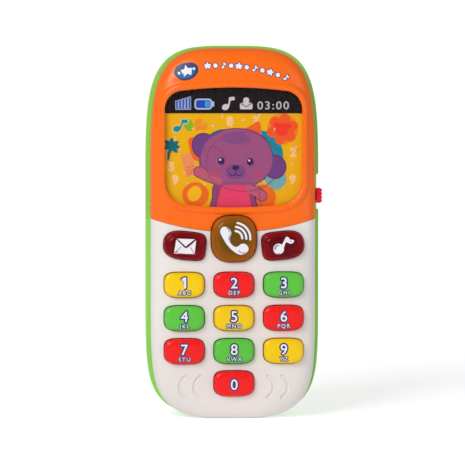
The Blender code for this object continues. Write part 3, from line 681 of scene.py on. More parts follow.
def stroke(points, width, cap=8):
    """A line of even width with round ends, as one outline. width may be a list, one for each point."""
    widths = width if isinstance(width, list) else [width] * len(points)
    left = []
    right = []
    n = len(points)
    for i, (x, z) in enumerate(points):
        ax, az = points[max(i - 1, 0)]
        bx, bz = points[min(i + 1, n - 1)]
        length = hypot(bx - ax, bz - az)
        nx, nz = -(bz - az) / length, (bx - ax) / length
        h = widths[i] / 2
        left.append((x + nx * h, z + nz * h))
        right.append((x - nx * h, z - nz * h))

    def end(center, start, h):
        """Half a turn clockwise from start, about center."""
        t0 = atan2(start[1] - center[1], start[0] - center[0])
        turns = [t0 - pi * k / cap for k in range(1, cap)]
        return [(center[0] + h * cos(t), center[1] + h * sin(t)) for t in turns]

    loop = left + end(points[-1], left[-1], widths[-1] / 2) + right[::-1]
    loop += end(points[0], right[0], widths[0] / 2)
    return loop


def arc(cx, cz, r, a0, a1, steps=14):
    turns = [radians(a0 + (a1 - a0) * k / steps) for k in range(steps + 1)]
    return [(cx + r * cos(t), cz + r * sin(t)) for t in turns]


def rounded_box(x0, z0, x1, z1, r, steps=5):
    corners = ((x1 - r, z1 - r), (x0 + r, z1 - r), (x0 + r, z0 + r), (x1 - r, z0 + r))
    return [p for k, (cx, cz) in enumerate(corners) for p in arc(cx, cz, r, 90 * k, 90 * k + 90, steps)]


def lay_mesh(name, work, surface, lift, material, body, grid):
    """Cut outlines, or a flat mesh whose y is a small extra lift, into a grid, and drop it on a surface."""
    if isinstance(work, list):
        work = flat_loops(work, LEVEL)
    bmesh.ops.triangulate(work, faces=work.faces)
    if grid:
        for axis in (0, 2):
            lo = min(v.co[axis] for v in work.verts)
            hi = max(v.co[axis] for v in work.verts)
            cuts = int((hi - lo) / grid)
            for k in range(1, cuts + 1):
                normal = Vector((1 - axis / 2, 0, axis / 2))
                point = normal * (lo + k * (hi - lo) / (cuts + 1))
                geom = work.verts[:] + work.edges[:] + work.faces[:]
                bmesh.ops.bisect_plane(work, geom=geom, plane_co=point, plane_no=normal, dist=1e-5)
    bmesh.ops.dissolve_degenerate(work, edges=work.edges, dist=0.02)
    bmesh.ops.triangulate(work, faces=work.faces)
    for v in work.verts:
        y = surface(v.co.x, v.co.z) if callable(surface) else surface
        v.co = Vector((v.co.x, y - lift - v.co.y, v.co.z)) * MM
    bmesh.ops.recalc_face_normals(work, faces=work.faces)
    for face in work.faces:
        face.smooth = True
        if face.normal.y > 0:
            face.normal_flip()
    mesh = bpy.data.meshes.new(name)
    work.to_mesh(mesh)
    work.free()
    mesh.materials.append(material)
    obj = add_object(name, mesh)
    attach(obj, body)


CAP_HEIGHT = 0.729


def text_flat(text, height, center, spacing=1.0):
    """Outline-font text as a flat mesh in XZ, its capitals of the given height, centred."""
    curve = bpy.data.curves.new("text", 'FONT')
    curve.body = text
    curve.space_character = spacing
    curve.resolution_u = 5
    obj = add_object("text", curve)
    bpy.context.view_layer.update()
    graph = bpy.context.evaluated_depsgraph_get()
    mesh = bpy.data.meshes.new_from_object(obj.evaluated_get(graph))
    bpy.data.objects.remove(obj, do_unlink=True)
    work = bmesh.new()
    work.from_mesh(mesh)
    bpy.data.meshes.remove(mesh)
    scale = height / CAP_HEIGHT
    mid = (min(v.co.x for v in work.verts) + max(v.co.x for v in work.verts)) / 2
    for v in work.verts:
        v.co = (center[0] + (v.co.x - mid) * scale, 0.0, center[1] + v.co.y * scale - height / 2)
    return work


def flat_loops(loops, level=0.0):
    """Flat mesh of filled outlines, each a level above the one before."""
    work = bmesh.new()
    for k, loop in enumerate(loops):
        work.faces.new([work.verts.new((x, k * level, z)) for x, z in loop])
    return work


def thicken(work, width, into=None):
    """Even strips with round corners outside every outline edge of a flat mesh.

    They go into a new mesh or the one given. Strips that overlap lie on slightly different levels.
    """
    out = into or bmesh.new()
    corners = {}
    level = 0
    edges = [e for e in work.edges if len(e.link_faces) == 1]
    for edge in edges:
        a, b = [Vector((v.co.x, v.co.z)) for v in edge.verts]
        c = edge.link_faces[0].calc_center_median()
        side = Vector((b.y - a.y, a.x - b.x))
        if side.length < 1e-6:
            continue
        side.normalize()
        if side.dot(Vector((c.x, c.z)) - a) > 0:
            side = -side
        level = (level + 1) % 7
        quad = (a, b, b + side * width, a + side * width)
        out.faces.new([out.verts.new((p.x, level * LEVEL, p.y)) for p in quad])
        for v, p in zip(edge.verts, (a, b)):
            corners.setdefault(v, []).append((p, side))
    for sides in corners.values():
        if len(sides) < 2:
            continue
        (p, one), (_, two) = sides[:2]
        start = atan2(one.y, one.x)
        turn = (atan2(two.y, two.x) - start + pi) % (2 * pi) - pi
        if abs(turn) < 0.06:
            continue
        steps = max(1, int(abs(turn) / 0.45))
        fan = [p]
        for k in range(steps + 1):
            t = start + turn * k / steps
            fan.append(p + Vector((cos(t), sin(t))) * width)
        level = (level + 1) % 7
        out.faces.new([out.verts.new((q.x, level * LEVEL, q.y)) for q in fan])
    return out


def lettering(name, work, surface, body, bold, rim, grid=0.7, lift=0.02):
    """A light print made bolder all round, on a slightly wider navy one."""
    lay_mesh(name + "_rim", thicken(work, bold + rim), surface, lift, M["print_navy"], body, grid)
    if bold:
        thicken(work.copy(), bold, work)
    lay_mesh(name, work, surface, lift + 0.015, M["print_white"], body, grid)


# --- shells
def front_blank(name):
    """The whole front moulding, crowned and with a soft edge, before it is cut."""
    insets = reversed(ease_insets(FRONT_HALF_W - 0.8, 40))
    rings = [front_ring(u, SIDE_Y - edge_depth(u, FRONT_HALF_W, FACE_DEPTH)) for u in insets]
    rings.append(front_ring(0.0, SEAM_FRONT_Y - 0.15))
    rings.append(front_ring(0.15, SEAM_FRONT_Y))
    rings.append(front_ring(WALL, SEAM_FRONT_Y))
    return loft(name, rings + inner_rings(front_ring, SIDE_Y, -1))


GROOVE_MID_X = (16.1, 22.0)
GROOVE_SAG = 2.4
GROOVE_Z = 13.4
GROOVE_HALF_Z = 4.3


def groove_cutters():
    """Round-bottomed curved grooves beside the 0 key."""
    tools = []
    for side in (-1, 1):
        for mid_x in GROOVE_MID_X:
            radius = (GROOVE_HALF_Z ** 2 + GROOVE_SAG ** 2) / (2 * GROOVE_SAG)
            sweep = degrees(atan2(GROOVE_HALF_Z, radius - GROOVE_SAG))
            middle = 0.0 if side > 0 else 180.0
            center = (side * (mid_x - radius), GROOVE_Z)
            tools.append(groove("groove", center, radius, middle - sweep, middle + sweep))
    return tools


def groove(name, center, radius, start, end, width=1.55, depth=0.65, steps=28, sides=16):
    """A sausage-shaped cutter along an arc, sunk in the face."""
    rings = []
    for k in range(-5, steps + 6):
        inside = min(max(k, 0), steps)
        reach = sin(pi / 2 * (k - inside) / 5) * 0.98
        size = width / 2 * sqrt(1 - reach ** 2)
        t = radians(start + (end - start) * inside / steps) + reach * width / 2 / radius
        cx = center[0] + radius * cos(t)
        cz = center[1] + radius * sin(t)
        ring = []
        for c, d in circle(0.0, 0.0, 1.0, sides):
            drop = depth * size / (width / 2) * d if d > 0 else d
            ring.append((cx + size * c * cos(t), face_y(cx, cz) + drop, cz + size * c * sin(t)))
        rings.append(ring)
    return loft(name, rings)


def build_front_case(material):
    shell = front_blank("front_shell")
    combine(shell, prism_y("split", split_loop(False), CUT_FRONT_Y, CUT_BACK_Y), 'INTERSECT')
    combine(shell, [hole_cutter(name) for name in KEYS if name != "call_button"])
    combine(shell, hole_cutter("call_button"))
    combine(shell, groove_cutters())
    finish_shell(shell, "front_shell", material, ("casing", "front_white", "front_case"))


# The soft raised frame round the picture window: (distance out from the window, rise off the face).
LIP = [(3.5, 0.6), (3.5, 0.03), (3.1, -0.05), (2.8, -0.19), (2.5, -0.42), (2.25, -0.6), (1.95, -0.74),
       (1.6, -0.82), (1.25, -0.82), (0.9, -0.74), (0.55, -0.58), (0.28, -0.38), (0.08, -0.15), (0.0, 0.1),
       (0.0, 2.0), (1.0, 2.0)]


def build_screen_bezel(material):
    shell = front_blank("bezel_shell")
    combine(shell, prism_y("split", split_loop(True), CUT_FRONT_Y, CUT_BACK_Y), 'INTERSECT')
    combine(shell, prism_y("window", window_loop(0.6), CUT_FRONT_Y, -6))
    lip = [on_face(window_loop(grow), rise) for grow, rise in LIP]
    combine(shell, loft("lip", lip, None, True), 'UNION')
    combine(shell, hole_cutter("call_button"))
    combine(shell, block("slot", (31.0, -5.2, KNOB_Z - 2.3), (35.0, -1.8, KNOB_Z + 6.3)))
    finish_shell(shell, "bezel_shell", material, ("casing", "case_orange", "screen_bezel"))


REAR_EDGE_Y = 8.5
DOOR_LO, DOOR_HI = box_mm("battery_door")
DOOR_HALF_W = 15.9
DOOR_GAP = 0.28
DOOR_R = (DOOR_HI[1] - DOOR_LO[1]) / 2
PIN_Y = DOOR_LO[1] + DOOR_R
PIN_Z = DOOR_LO[2] + DOOR_R
DOOR_SCREW_Z = center_mm("battery_door_screw")[2]
KNOB_Z = center_mm("slide_switch_knob")[2]
NOTCH_Z = (KNOB_Z - 5.1, KNOB_Z + 8.1)
BAY = ((-13.9, 0.8, 23.5), (13.9, 14.2, 76.5))
BAY_INSIDE = ((-12.4, 2.3, 25.0), (12.4, DOOR_CUT_Y, 75.0))
DOOR_LEDGE = ((-18.2, 12.0, 19.0), (18.2, 14.3, 81.0))


def build_rear_case(material):
    depth = REAR_BACK - REAR_EDGE_Y
    insets = reversed(ease_insets(REAR_HALF_W - 0.8, 36))
    rings = [rear_ring(u, REAR_EDGE_Y + edge_depth(u, REAR_HALF_W, depth)) for u in insets]
    rim = [(0.0, SEAM_REAR_Y + 0.25), (0.07, SEAM_REAR_Y + 0.07), (0.25, SEAM_REAR_Y), (4.4, SEAM_REAR_Y),
           (4.4, -0.7), (5.6, -0.7), (5.6, 2.7), (WALL, 2.7)]
    rings += [rear_ring(inset, y) for inset, y in rim]
    shell = loft("rear_shell", rings + inner_rings(rear_ring, REAR_EDGE_Y, 1))

    combine(shell, block("bay", *BAY), 'UNION')
    combine(shell, block("ledge", *DOOR_LEDGE), 'UNION')
    combine(shell, lathe_y("door_boss", (0, DOOR_SCREW_Z), [(2.5, 6.0), (2.5, 13.0)], 32), 'UNION')
    combine(shell, door_recess())
    combine(shell, block("cavity", *BAY_INSIDE))
    combine(shell, lathe_y("door_pilot", (0, DOOR_SCREW_Z), [(1.15, 7.0), (1.15, DOOR_CUT_Y)], 24))
    combine(shell, pin_pair("pin_hole", [(0.7, 15.0), (0.7, 17.3)]))
    combine(shell, [screw_well(x, z) for x, z in case_screw_centers()])
    combine(shell, [flared_hole(x, z, 1.1) for x, z in grille_centers()])
    combine(shell, [post(x, z) for x, z in case_screw_centers()], 'UNION')
    lo, hi = NOTCH_Z
    combine(shell, block("pad", (31.8, 2.0, lo - 2.0), (34.6, 10.0, hi + 2.0)), 'UNION')
    notch = []
    for x, y, grow in ((33.9, 8.6, 0.0), (37.0, 10.6, 1.6)):
        notch.append([(x, 0.0, lo - grow), (x, 0.0, hi + grow), (x, y, hi + grow), (x, y, lo - grow)])
    combine(shell, loft("notch", notch))
    finish_shell(shell, "rear_shell", material, ("casing", "case_green", "rear_case"))


def pin_pair(name, profile):
    """The same turned shape at both ends of the door's hinge line."""
    ends = [[(r, side * x) for r, x in profile] for side in (-1, 1)]
    return [lathe_x(name, (PIN_Y, PIN_Z), end, 20) for end in ends]


def door_recess():
    """Cutter for the battery door's seat, with a small chamfer at the outer face."""
    half = DOOR_HALF_W + DOOR_GAP
    z0 = DOOR_LO[2] - DOOR_GAP
    z1 = DOOR_HI[2] + DOOR_GAP
    back = REAR_BACK
    rings = []
    for y, grow in ((13.4, 0.0), (back - 0.35, 0.0), (back - 0.1, 0.1), (back, 0.3), (CUT_OUT_Y, 0.3)):
        loop = rounded_box(-half - grow, z0 - grow, half + grow, z1 + grow, 0.6 + grow)
        rings.append(at_y(loop, y))
    return loft("recess", rings)


def door_section(shrink):
    """Side view of the door (y, z), rounded round the hinge line, drawn in by shrink."""
    y0 = DOOR_LO[1] + shrink
    y1 = DOOR_HI[1] - shrink
    top = DOOR_HI[2] - shrink
    r = DOOR_R - shrink
    fillet = 0.35
    points = [(y0, top)]
    for k in range(17):
        t = pi + pi * k / 16
        points.append((PIN_Y + r * cos(t), PIN_Z + r * sin(t)))
    points += [(y1, (PIN_Z + top) / 2)]
    for k in range(6):
        t = pi / 2 * k / 5
        points.append((y1 - fillet + fillet * cos(t), top - fillet + fillet * sin(t)))
    return points


GRIP_CURVE = ((-5.6, 0.0), (-3.0, -0.5), (0.0, -0.7), (3.0, -0.5), (5.6, 0.0))


def build_door(material):
    half = DOOR_HALF_W
    rings = []
    for x, shrink in ((-half, 0.3), (-half + 0.08, 0.14), (-half + 0.22, 0.04), (-half + 0.4, 0.0)):
        rings.append([(x, y, z) for y, z in door_section(shrink)])
    rings += [[(-x, y, z) for x, y, z in ring] for ring in reversed(rings)]
    door = loft("door", rings)
    top = DOOR_HI[1]
    combine(door, pin_pair("pin", [(0.5, 15.0), (0.5, 16.8), (0.35, 16.9)]), 'UNION')
    seat = [(1.2, 12.0), (1.2, 14.5), (1.7, 14.5), (1.7, top - 0.2), (1.9, top), (1.9, DOOR_CUT_Y)]
    combine(door, lathe_y("seat", (0, DOOR_SCREW_Z), seat, 40))
    marks = []
    for k in range(3):
        curve = move(GRIP_CURVE, 0.0, 66.5 + 2.4 * k)
        loop = stroke(curve, 1.0)
        grip = [at_y(stroke(curve, 0.6), top - 0.7), at_y(loop, top - 0.45), at_y(loop, DOOR_CUT_Y)]
        marks.append(loft("grip", grip))
    arrow = [(0.0, 58.0), (3.4, 62.4), (1.2, 62.4), (1.2, 63.6), (-1.2, 63.6), (-1.2, 62.4), (-3.4, 62.4)]
    marks.append(prism_y("arrow", arrow, top - 0.6, DOOR_CUT_Y))
    combine(door, marks)
    finish_shell(door, "door_panel", material, ("battery_cover", "case_green", "battery_door"), SHARP_ANGLE)


def case_screw_centers():
    return [center_mm("case_screw_%d" % k)[::2] for k in range(1, 5)]


def screw_well(x, z):
    profile = [(3.4, CUT_OUT_Y), (3.4, REAR_BACK + 0.02), (3.1, REAR_BACK - 0.12), (2.85, REAR_BACK - 0.35),
               (2.72, REAR_BACK - 0.7), (2.7, 9.0)]
    return lathe_y("well", (x, z), profile, 48)


def post(x, z):
    """Hollow screw post behind the well, with its seat."""
    profile = ((3.6, 14.0), (3.6, 7.0), (1.4, 7.0), (1.4, 9.0), (2.75, 9.0), (2.75, 14.0))
    return loft("post", [at_y(circle(x, z, r, 48), y) for r, y in profile], None, True)


def grille_centers():
    x, _, z = center_mm("speaker_frame")
    return [(x, z)] + circle(x, z, 4.4, 6) + circle(x, z, 8.8, 12)


def flared_hole(x, z, radius):
    profile = [(radius + 0.4, CUT_OUT_Y), (radius + 0.4, REAR_BACK), (radius + 0.14, REAR_BACK - 0.1),
               (radius, REAR_BACK - 0.35), (radius, 11.0)]
    return lathe_y("hole", (x, z), profile, 28)


def thread(radius, y0, y1, pitch=1.0, height=0.18):
    """Profile of a coarse plastic-screw thread from y0 to y1."""
    points = []
    y = y0
    while y < y1 - pitch:
        points += [(radius - height, y), (radius, y + pitch * 0.35), (radius, y + pitch * 0.5),
                   (radius - height, y + pitch * 0.85)]
        y += pitch
    points.append((radius - height, y1))
    return points


def build_screw(name, body, x, z, profile, arm, width, depth):
    """Turned screw with a cross cut in its head, the cross narrower at its bottom."""
    top = profile[-1][1]
    screw = lathe_y("screw", (x, z), profile, 40)
    for dx, dz in ((arm, width / 2), (width / 2, arm)):
        box = [(dx, dz), (-dx, dz), (-dx, -dz), (dx, -dz)]
        steps = ((top - depth, 0.6), (top + 0.12, 1.0), (top + 1.0, 1.0))
        combine(screw, loft("slot", [at_y(move(box, x, z, k), y) for y, k in steps]))
    finish_shell(screw, name + "_metal", M["screw_steel"], (body, "screw_steel", name), SHARP_ANGLE)


def build_screws():
    tip = [(0.3, -4.0), (0.6, -3.4)] + thread(0.95, -3.0, 6.0)
    head = [(0.8, 9.1), (2.1, 9.1), (2.2, 9.2), (2.2, 9.6), (2.12, 9.9), (1.9, 10.2), (1.5, 10.45),
            (0.9, 10.62), (0.3, box_mm("case_screw_1")[1][1])]
    for k, (x, z) in enumerate(case_screw_centers()):
        build_screw("case_screw_%d" % (k + 1), "casing", x, z, tip + head, 1.15, 0.5, 0.8)
    name = "battery_door_screw"
    tip = [(0.3, 9.0), (0.5, 9.4)] + thread(0.7, 9.6, 13.6, 0.8, 0.14)
    head = [(0.6, 14.6), (1.4, 14.6), (1.45, 14.66), (1.45, 14.85), (1.38, 15.0), (1.15, 15.1), (0.8, 15.16),
            (0.25, box_mm(name)[1][1])]
    build_screw(name, "battery_cover", 0.0, DOOR_SCREW_Z, tip + head, 0.85, 0.36, 0.4)


def build_knob(material):
    """Ridged end of the slide switch's knob, with its neck and plate inside the case."""
    lo, hi = box_mm("slide_switch_knob")
    top = hi[0]
    half = 3.05
    ridges = 4
    fine = 48

    def section(shrink):
        loop = []
        for k in range(fine + 1):
            z = -half + shrink + 2 * (half - shrink) * k / fine
            wave = 0.3 * (1 - cos(2 * pi * ridges * k / fine)) / 2
            ends = 0.5 * (abs(2 * k / fine - 1) ** 8)
            loop.append((top - 0.32 + wave - ends - shrink * 0.6, KNOB_Z + z))
        loop += [(34.1, KNOB_Z + half - shrink), (34.1, KNOB_Z - half + shrink)]
        return loop

    steps = ((-6.0, 0.45), (-5.88, 0.2), (-5.6, 0.05), (-5.2, 0.0), (-1.8, 0.0), (-1.4, 0.05), (-1.12, 0.2),
             (-1.0, 0.45))
    cap = loft("knob", [at_y(section(shrink), y) for y, shrink in steps])
    combine(cap, block("neck", (30.8, -4.9, KNOB_Z - 2.0), (34.6, -2.1, KNOB_Z + 2.0)), 'UNION')
    combine(cap, block("plate", lo, (31.1, hi[1] - 0.1, hi[2])), 'UNION')
    finish_shell(cap, "power_knob", material, ("power_slider", "knob_red", "slide_switch_knob"), SHARP_ANGLE)


MAT_FRONT = -7.7
DOME_FRONT = -8.9


def build_mat():
    """Silicone sheet with a separate soft dome behind each key."""
    rubber = M["rubber"]
    lo, hi = box_mm("keypad_mat")
    outline = [(-12.0, lo[2]), (12.0, lo[2]), (12.0, 22.7), (hi[0], 22.7), (hi[0], hi[2]), (lo[0], hi[2]),
               (lo[0], 22.7), (-12.0, 22.7)]
    sheet = prism_y("sheet", outline, MAT_FRONT, hi[1])
    leds = [center_mm(name) for name in ("led_mail", "led_call", "led_music")]
    combine(sheet, [lathe_y("led_hole", (x, z), [(1.9, -9.5), (1.9, -5.0)], 24) for x, _, z in leds])
    finish_shell(sheet, "mat_sheet", rubber, ("casing", "rubber_grey", "keypad_mat"))
    profile = [(4.2, MAT_FRONT - 0.01), (4.15, MAT_FRONT - 0.1), (3.45, DOME_FRONT + 0.3),
               (3.25, DOME_FRONT + 0.08), (3.0, DOME_FRONT), (1.8, DOME_FRONT), (1.6, DOME_FRONT + 0.12),
               (0.4, DOME_FRONT + 0.12)]
    for name in KEYS:
        x, _, z = center_mm(name)
        dome = lathe_y("dome_" + name, (x, z), profile, 32, rubber)
        place(dome, "casing", "rubber_grey")
        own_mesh(dome)


def build_batteries():
    """Two cells with rolled ends, one each way up."""
    for name, up in (("battery_1", True), ("battery_2", False)):
        lo, hi = box_mm(name)
        cx = (lo[0] + hi[0]) / 2
        cy = (lo[1] + hi[1]) / 2
        r = (hi[0] - lo[0]) / 2
        length = hi[2] - lo[2]
        profile = [(0.4, 0.1), (r - 1.4, 0.1), (r - 1.2, 0.0), (r - 0.5, 0.0), (r - 0.15, 0.12), (r, 0.5),
                   (r, length - 1.9), (r - 0.2, length - 1.55), (r - 0.8, length - 1.35),
                   (r - 1.2, length - 1.55), (2.6, length - 1.6), (2.1, length - 1.4),
                   (1.95, length - 0.4), (1.7, length)]
        rings = []
        for radius, h in profile:
            z = lo[2] + h if up else hi[2] - h
            rings.append([(x, y, z) for x, y in circle(cx, cy, radius, 56)])
        ends = (lo[2], hi[2]) if up else (hi[2], lo[2])
        cell = loft(name + "_cell", rings, battery_skin(name + "_skin", *ends), False, SHARP_ANGLE)
        place(cell, "casing", "battery_skin", name)


# --- printed artwork
def smooth(points, steps=6):
    """Closed curve through points."""
    out = []
    n = len(points)
    for i in range(n):
        p0, p1, p2, p3 = [points[(i + k - 1) % n] for k in range(4)]
        for j in range(steps):
            t = j / steps
            q = []
            for a, b, c, d in zip(p0, p1, p2, p3):
                q.append(0.5 * (2 * b + (c - a) * t + (2 * a - 5 * b + 4 * c - d) * t * t
                                + (3 * b - a - 3 * c + d) * t ** 3))
            out.append(tuple(q))
    return out


def note_loops(cx, cz, size, turn=0.0):
    """An eighth note about two units tall for each unit of size."""
    head = disc(-0.28, -0.62, 0.38, 0.3, 0.35)
    stem = stroke([(0.04, -0.6), (0.06, 0.8)], 0.14, 4)
    flag = [(0.0, 0.9), (0.12, 0.9), (0.3, 0.62), (0.72, 0.4), (0.62, 0.02), (0.4, 0.22), (0.12, 0.3),
            (0.0, 0.3)]
    return [move(loop, cx, cz, size, turn) for loop in (head, stem, flag)]


def bold_note(cx, cz, size, turn=0.0):
    head = disc(-0.55, -0.62, 0.62, 0.5, 0.4)
    stem = stroke([(-0.05, -0.5), (0.22, 0.85)], 0.3)
    flag = move(rounded_box(-0.5, -0.3, 0.5, 0.3, 0.15), 0.5, 0.78, 1.0, 0.15)
    return [move(loop, cx, cz, size, turn) for loop in (head, stem, flag)]


NUMBER_KEYS = {1: ("yellow", "ABC"), 2: ("red", "DEF"), 3: ("green", "GHI"), 4: ("green", "JKL"),
               5: ("yellow", "MNO"), 6: ("red", "PQR"), 7: ("red", "STU"), 8: ("green", "VWX"),
               9: ("yellow", "YZ"), 0: ("red", "")}
DIGIT_HEIGHT = 4.4
LETTER_HEIGHT = 1.65
LETTER_SPACING = 1.34
ONE = [(0.65, 2.2), (0.05, 2.2), (-1.05, 1.65), (-1.05, 0.95), (-0.1, 1.3), (-0.1, -2.2), (0.65, -2.2)]


def build_key_prints():
    for digit, (_, letters) in NUMBER_KEYS.items():
        name = "key_%d" % digit
        cx, cz = key_center(name)
        surface = cap_surface(name)
        dz = 0.95 if letters else -0.1
        if digit == 1:
            work = flat_loops([move(ONE, cx, cz + dz)])
        else:
            work = text_flat(str(digit), DIGIT_HEIGHT, (cx, cz + dz))
        lettering("print_digit_%d" % digit, work, surface, name + "_body", 0.07, 0.55)
        if letters:
            work = text_flat(letters, LETTER_HEIGHT, (cx, cz - 3.05), LETTER_SPACING)
            lettering("print_letters_%d" % digit, work, surface, name + "_body", 0.03, 0.32, 0.8)


HANDSET = [(-5.9, 2.9), (-5.5, 4.5), (-4.2, 5.3), (-2.6, 4.7), (-1.35, 3.2), (-1.4, 1.7), (-2.5, 0.7),
           (-2.2, -0.7), (-1.0, -2.3), (0.4, -3.2), (1.7, -2.9), (3.0, -2.0), (4.6, -2.0), (5.9, -3.4),
           (5.8, -4.9), (4.4, -6.1), (2.6, -6.5), (0.9, -5.9), (-1.2, -4.3), (-3.1, -2.2), (-4.6, 0.2)]
NOTE_FLAG = [(0.9, 3.1), (1.9, 3.4), (2.7, 2.5), (3.9, 2.3), (4.3, 1.7), (3.5, 0.9), (2.6, 0.85), (1.3, 1.5)]


def build_icons():
    """White symbols on the three clear buttons: envelope, handset with arcs, note."""
    def icon(button, part, lift, ink_name, loops, rim=0.0):
        center = key_center(button)
        work = [move(loop, *center) for loop in loops]
        if rim:
            work = thicken(flat_loops(work), rim)
        grid = 0.7 if rim else 0.6
        lay_mesh("print_" + part, work, cap_surface(button), lift, M[ink_name], button + "_body", grid)

    envelope = [(-3.4, 2.95), (4.6, 2.65), (3.9, -3.35), (-4.4, -3.1)]
    icon("mail_button", "envelope", 0.02, "print_white", [envelope])
    flap = [(-3.3, 2.8), (-1.3, 0.9), (0.1, -0.5), (0.7, -0.5), (2.3, 0.8), (4.3, 2.5)]
    folds = [stroke(flap, [0.5, 0.6, 0.75, 0.85, 0.85, 0.7]), stroke([(-4.1, -2.9), (-1.6, -0.4)], 0.24),
             stroke([(3.7, -3.1), (2.2, -0.5)], 0.24)]
    icon("mail_button", "envelope_folds", 0.035, "print_wine", folds)

    loops = [move(smooth(HANDSET), 0.0, -0.1, 0.96)]
    for radius, start, end in ((3.0, 0, 84), (4.65, -2, 84), (6.3, -4, 80)):
        loops.append(stroke(arc(0.2, 0.25, radius, start, end), 0.86))
    icon("call_button", "handset_rim", 0.015, "print_brown", loops, 0.28)
    icon("call_button", "handset", 0.03, "print_white", loops)
    marks = [stroke(arc(-3.7, 2.7, 1.75, 5, 75, 8), 0.28), stroke(arc(3.5, -3.9, 1.75, 205, 300, 8), 0.28)]
    icon("call_button", "handset_marks", 0.045, "print_brown", marks)

    stem = stroke([(-0.55, -0.7), (0.35, 1.1), (1.4, 2.9)], [1.5, 0.95, 1.3])
    icon("music_button", "note", 0.02, "print_white", [disc(-1.95, -1.35, 2.15), stem, smooth(NOTE_FLAG)])
    marks = [stroke(arc(-1.95, -1.35, 1.45, 95, 185, 8), 0.42), stroke([(2.6, 1.9), (3.3, 1.6)], 0.2)]
    icon("music_button", "note_marks", 0.035, "print_wine", marks)


BADGE_CENTER = (-19.1, 141.1)
BADGE_TURN = radians(13)
ROW_COUNT = 11
ROW_X = (-10.6, 21.0)
ROW_TOP_Z = 143.6
ROW_BOW = 0.0072


def build_top_prints():
    """Oval badge with a star, and a curved row of small shapes, where the printed names would be."""
    def badge(part, lift, ink_name, loops):
        placed = [move(loop, *BADGE_CENTER, 1.0, BADGE_TURN) for loop in loops]
        lay_mesh("print_badge" + part, placed, face_y, lift, M[ink_name], "casing", 0.7)

    oval = smooth([(-5.0, 0.2), (-3.6, 2.7), (-0.4, 3.5), (3.2, 2.9), (4.9, 0.9), (4.2, -1.7), (1.2, -3.4),
                   (-2.8, -3.0)])
    badge("", 0.02, "print_navy_badge", [oval])
    glint = [(-3.9, -0.8), (-2.0, -0.1), (1.5, 0.2), (3.6, 0.6), (3.0, -1.4), (0.6, -2.8), (-2.4, -2.4)]
    badge("_shade", 0.03, "print_sky", [smooth(glint)])
    cx, cz = BADGE_CENTER
    marks = [star(cx + 0.1, cz + 0.2, 2.5, 0.48, pi / 2 + BADGE_TURN), disc(cx - 3.0, cz - 0.7, 0.55),
             disc(cx + 3.0, cz + 1.1, 0.55)]
    lay_mesh("print_badge_star", marks, face_y, 0.04, M["print_white"], "casing", 0.7)

    loops = []
    for k in range(ROW_COUNT):
        x = ROW_X[0] + (ROW_X[1] - ROW_X[0]) * k / (ROW_COUNT - 1)
        z = ROW_TOP_Z - ROW_BOW * (x + 5.0) ** 2
        lean = -2 * ROW_BOW * (x + 5.0)
        kind = k % 4
        if kind == 0:
            loops.append(star(x, z, 1.45, 0.5, pi / 2 + lean))
        elif kind == 2:
            loops += note_loops(x + 0.2, z, 1.3, lean)
        else:
            loops.append(disc(x, z - 0.1, 0.8))
    lettering("print_row", flat_loops(loops), face_y, "casing", 0.12, 0.3, 0.7)


ART_STEP = 0.014
PALE_INK = (252, 206, 140)
GOLDEN_ANGLE = 2.39996
BEAR_HEAD = [(-13.6, 104.2), (-11.6, 111.8), (-5.6, 116.8), (1.6, 118.0), (8.8, 116.6), (14.4, 111.6),
             (15.8, 104.2), (12.4, 98.0), (5.4, 94.6), (-3.4, 94.8), (-10.6, 98.2)]
BEAR_BODY = [(-6.6, 96.0), (-8.4, 90.0), (-8.8, 82.0), (9.4, 82.0), (8.6, 90.0), (7.6, 96.0)]


def art(name, layer, color, shapes):
    """One flat colour of the picture, on its own level in front of the card: outlines or a flat mesh."""
    name = "art_" + name
    lay_mesh(name, shapes, CARD_Y, 0.02 + layer * ART_STEP, card_ink(name, srgb(*color)), "casing", 0)


def build_picture():
    """A plain teddy bear among notes, flowers and digits, under a dark status bar."""
    build_status_bar()
    build_ground()
    build_flowers()
    build_shapes_behind()
    build_bear()


def build_status_bar():
    """Bars, battery, note, envelope and time on a dark band."""
    window = [(x, z) for x, z in window_loop(1.2) if z > BAND_BOTTOM_Z]
    side = max(x for x, z in window)
    art("band", 13, (24, 14, 16), [[(side, BAND_BOTTOM_Z)] + window + [(-side, BAND_BOTTOM_Z)]])
    outline = (186, 196, 226)
    bars = []
    inner = []
    for k in range(5):
        x = -22.9 + 1.28 * k
        top = 129.3 + 0.38 * k
        bars.append(rounded_box(x - 0.58, 125.7, x + 0.58, top + 0.2, 0.3, 3))
        inner.append(rounded_box(x - 0.33, 125.95, x + 0.33, top, 0.2, 3))
    art("bars_rim", 14, outline, bars)
    art("bars", 15, (34, 84, 190), inner)
    cell = [rounded_box(-15.8, 125.8, -8.7, 130.2, 1.3), rounded_box(-9.0, 126.9, -7.8, 129.1, 0.4)]
    art("cell_rim", 14, outline, cell)
    art("cell", 15, (30, 78, 186), [rounded_box(-15.2, 126.4, -9.3, 129.6, 0.9)])
    art("cell_light", 16, (60, 160, 220), [rounded_box(-11.6, 126.7, -9.6, 129.3, 0.6)])
    pale = (214, 204, 208)
    art("bar_note", 14, pale, bold_note(-1.9, 128.3, 2.4))
    art("bar_mail", 14, pale, [rounded_box(2.6, 125.9, 7.7, 128.6, 0.5), disc(5.15, 129.5, 1.25)])
    fold = stroke([(2.8, 128.5), (4.4, 127.3), (5.15, 127.0), (5.9, 127.3), (7.5, 128.5)], 0.32)
    art("bar_mail_fold", 15, (40, 24, 28), [fold])
    mid = 16.1
    clock = text_flat("03:00", 3.3, (mid, 127.6), 1.22)
    for v in clock.verts:
        v.co.x = mid + (v.co.x - mid) * 1.08
    thicken(clock.copy(), 0.07, clock)
    art("clock", 14, (196, 190, 194), clock)


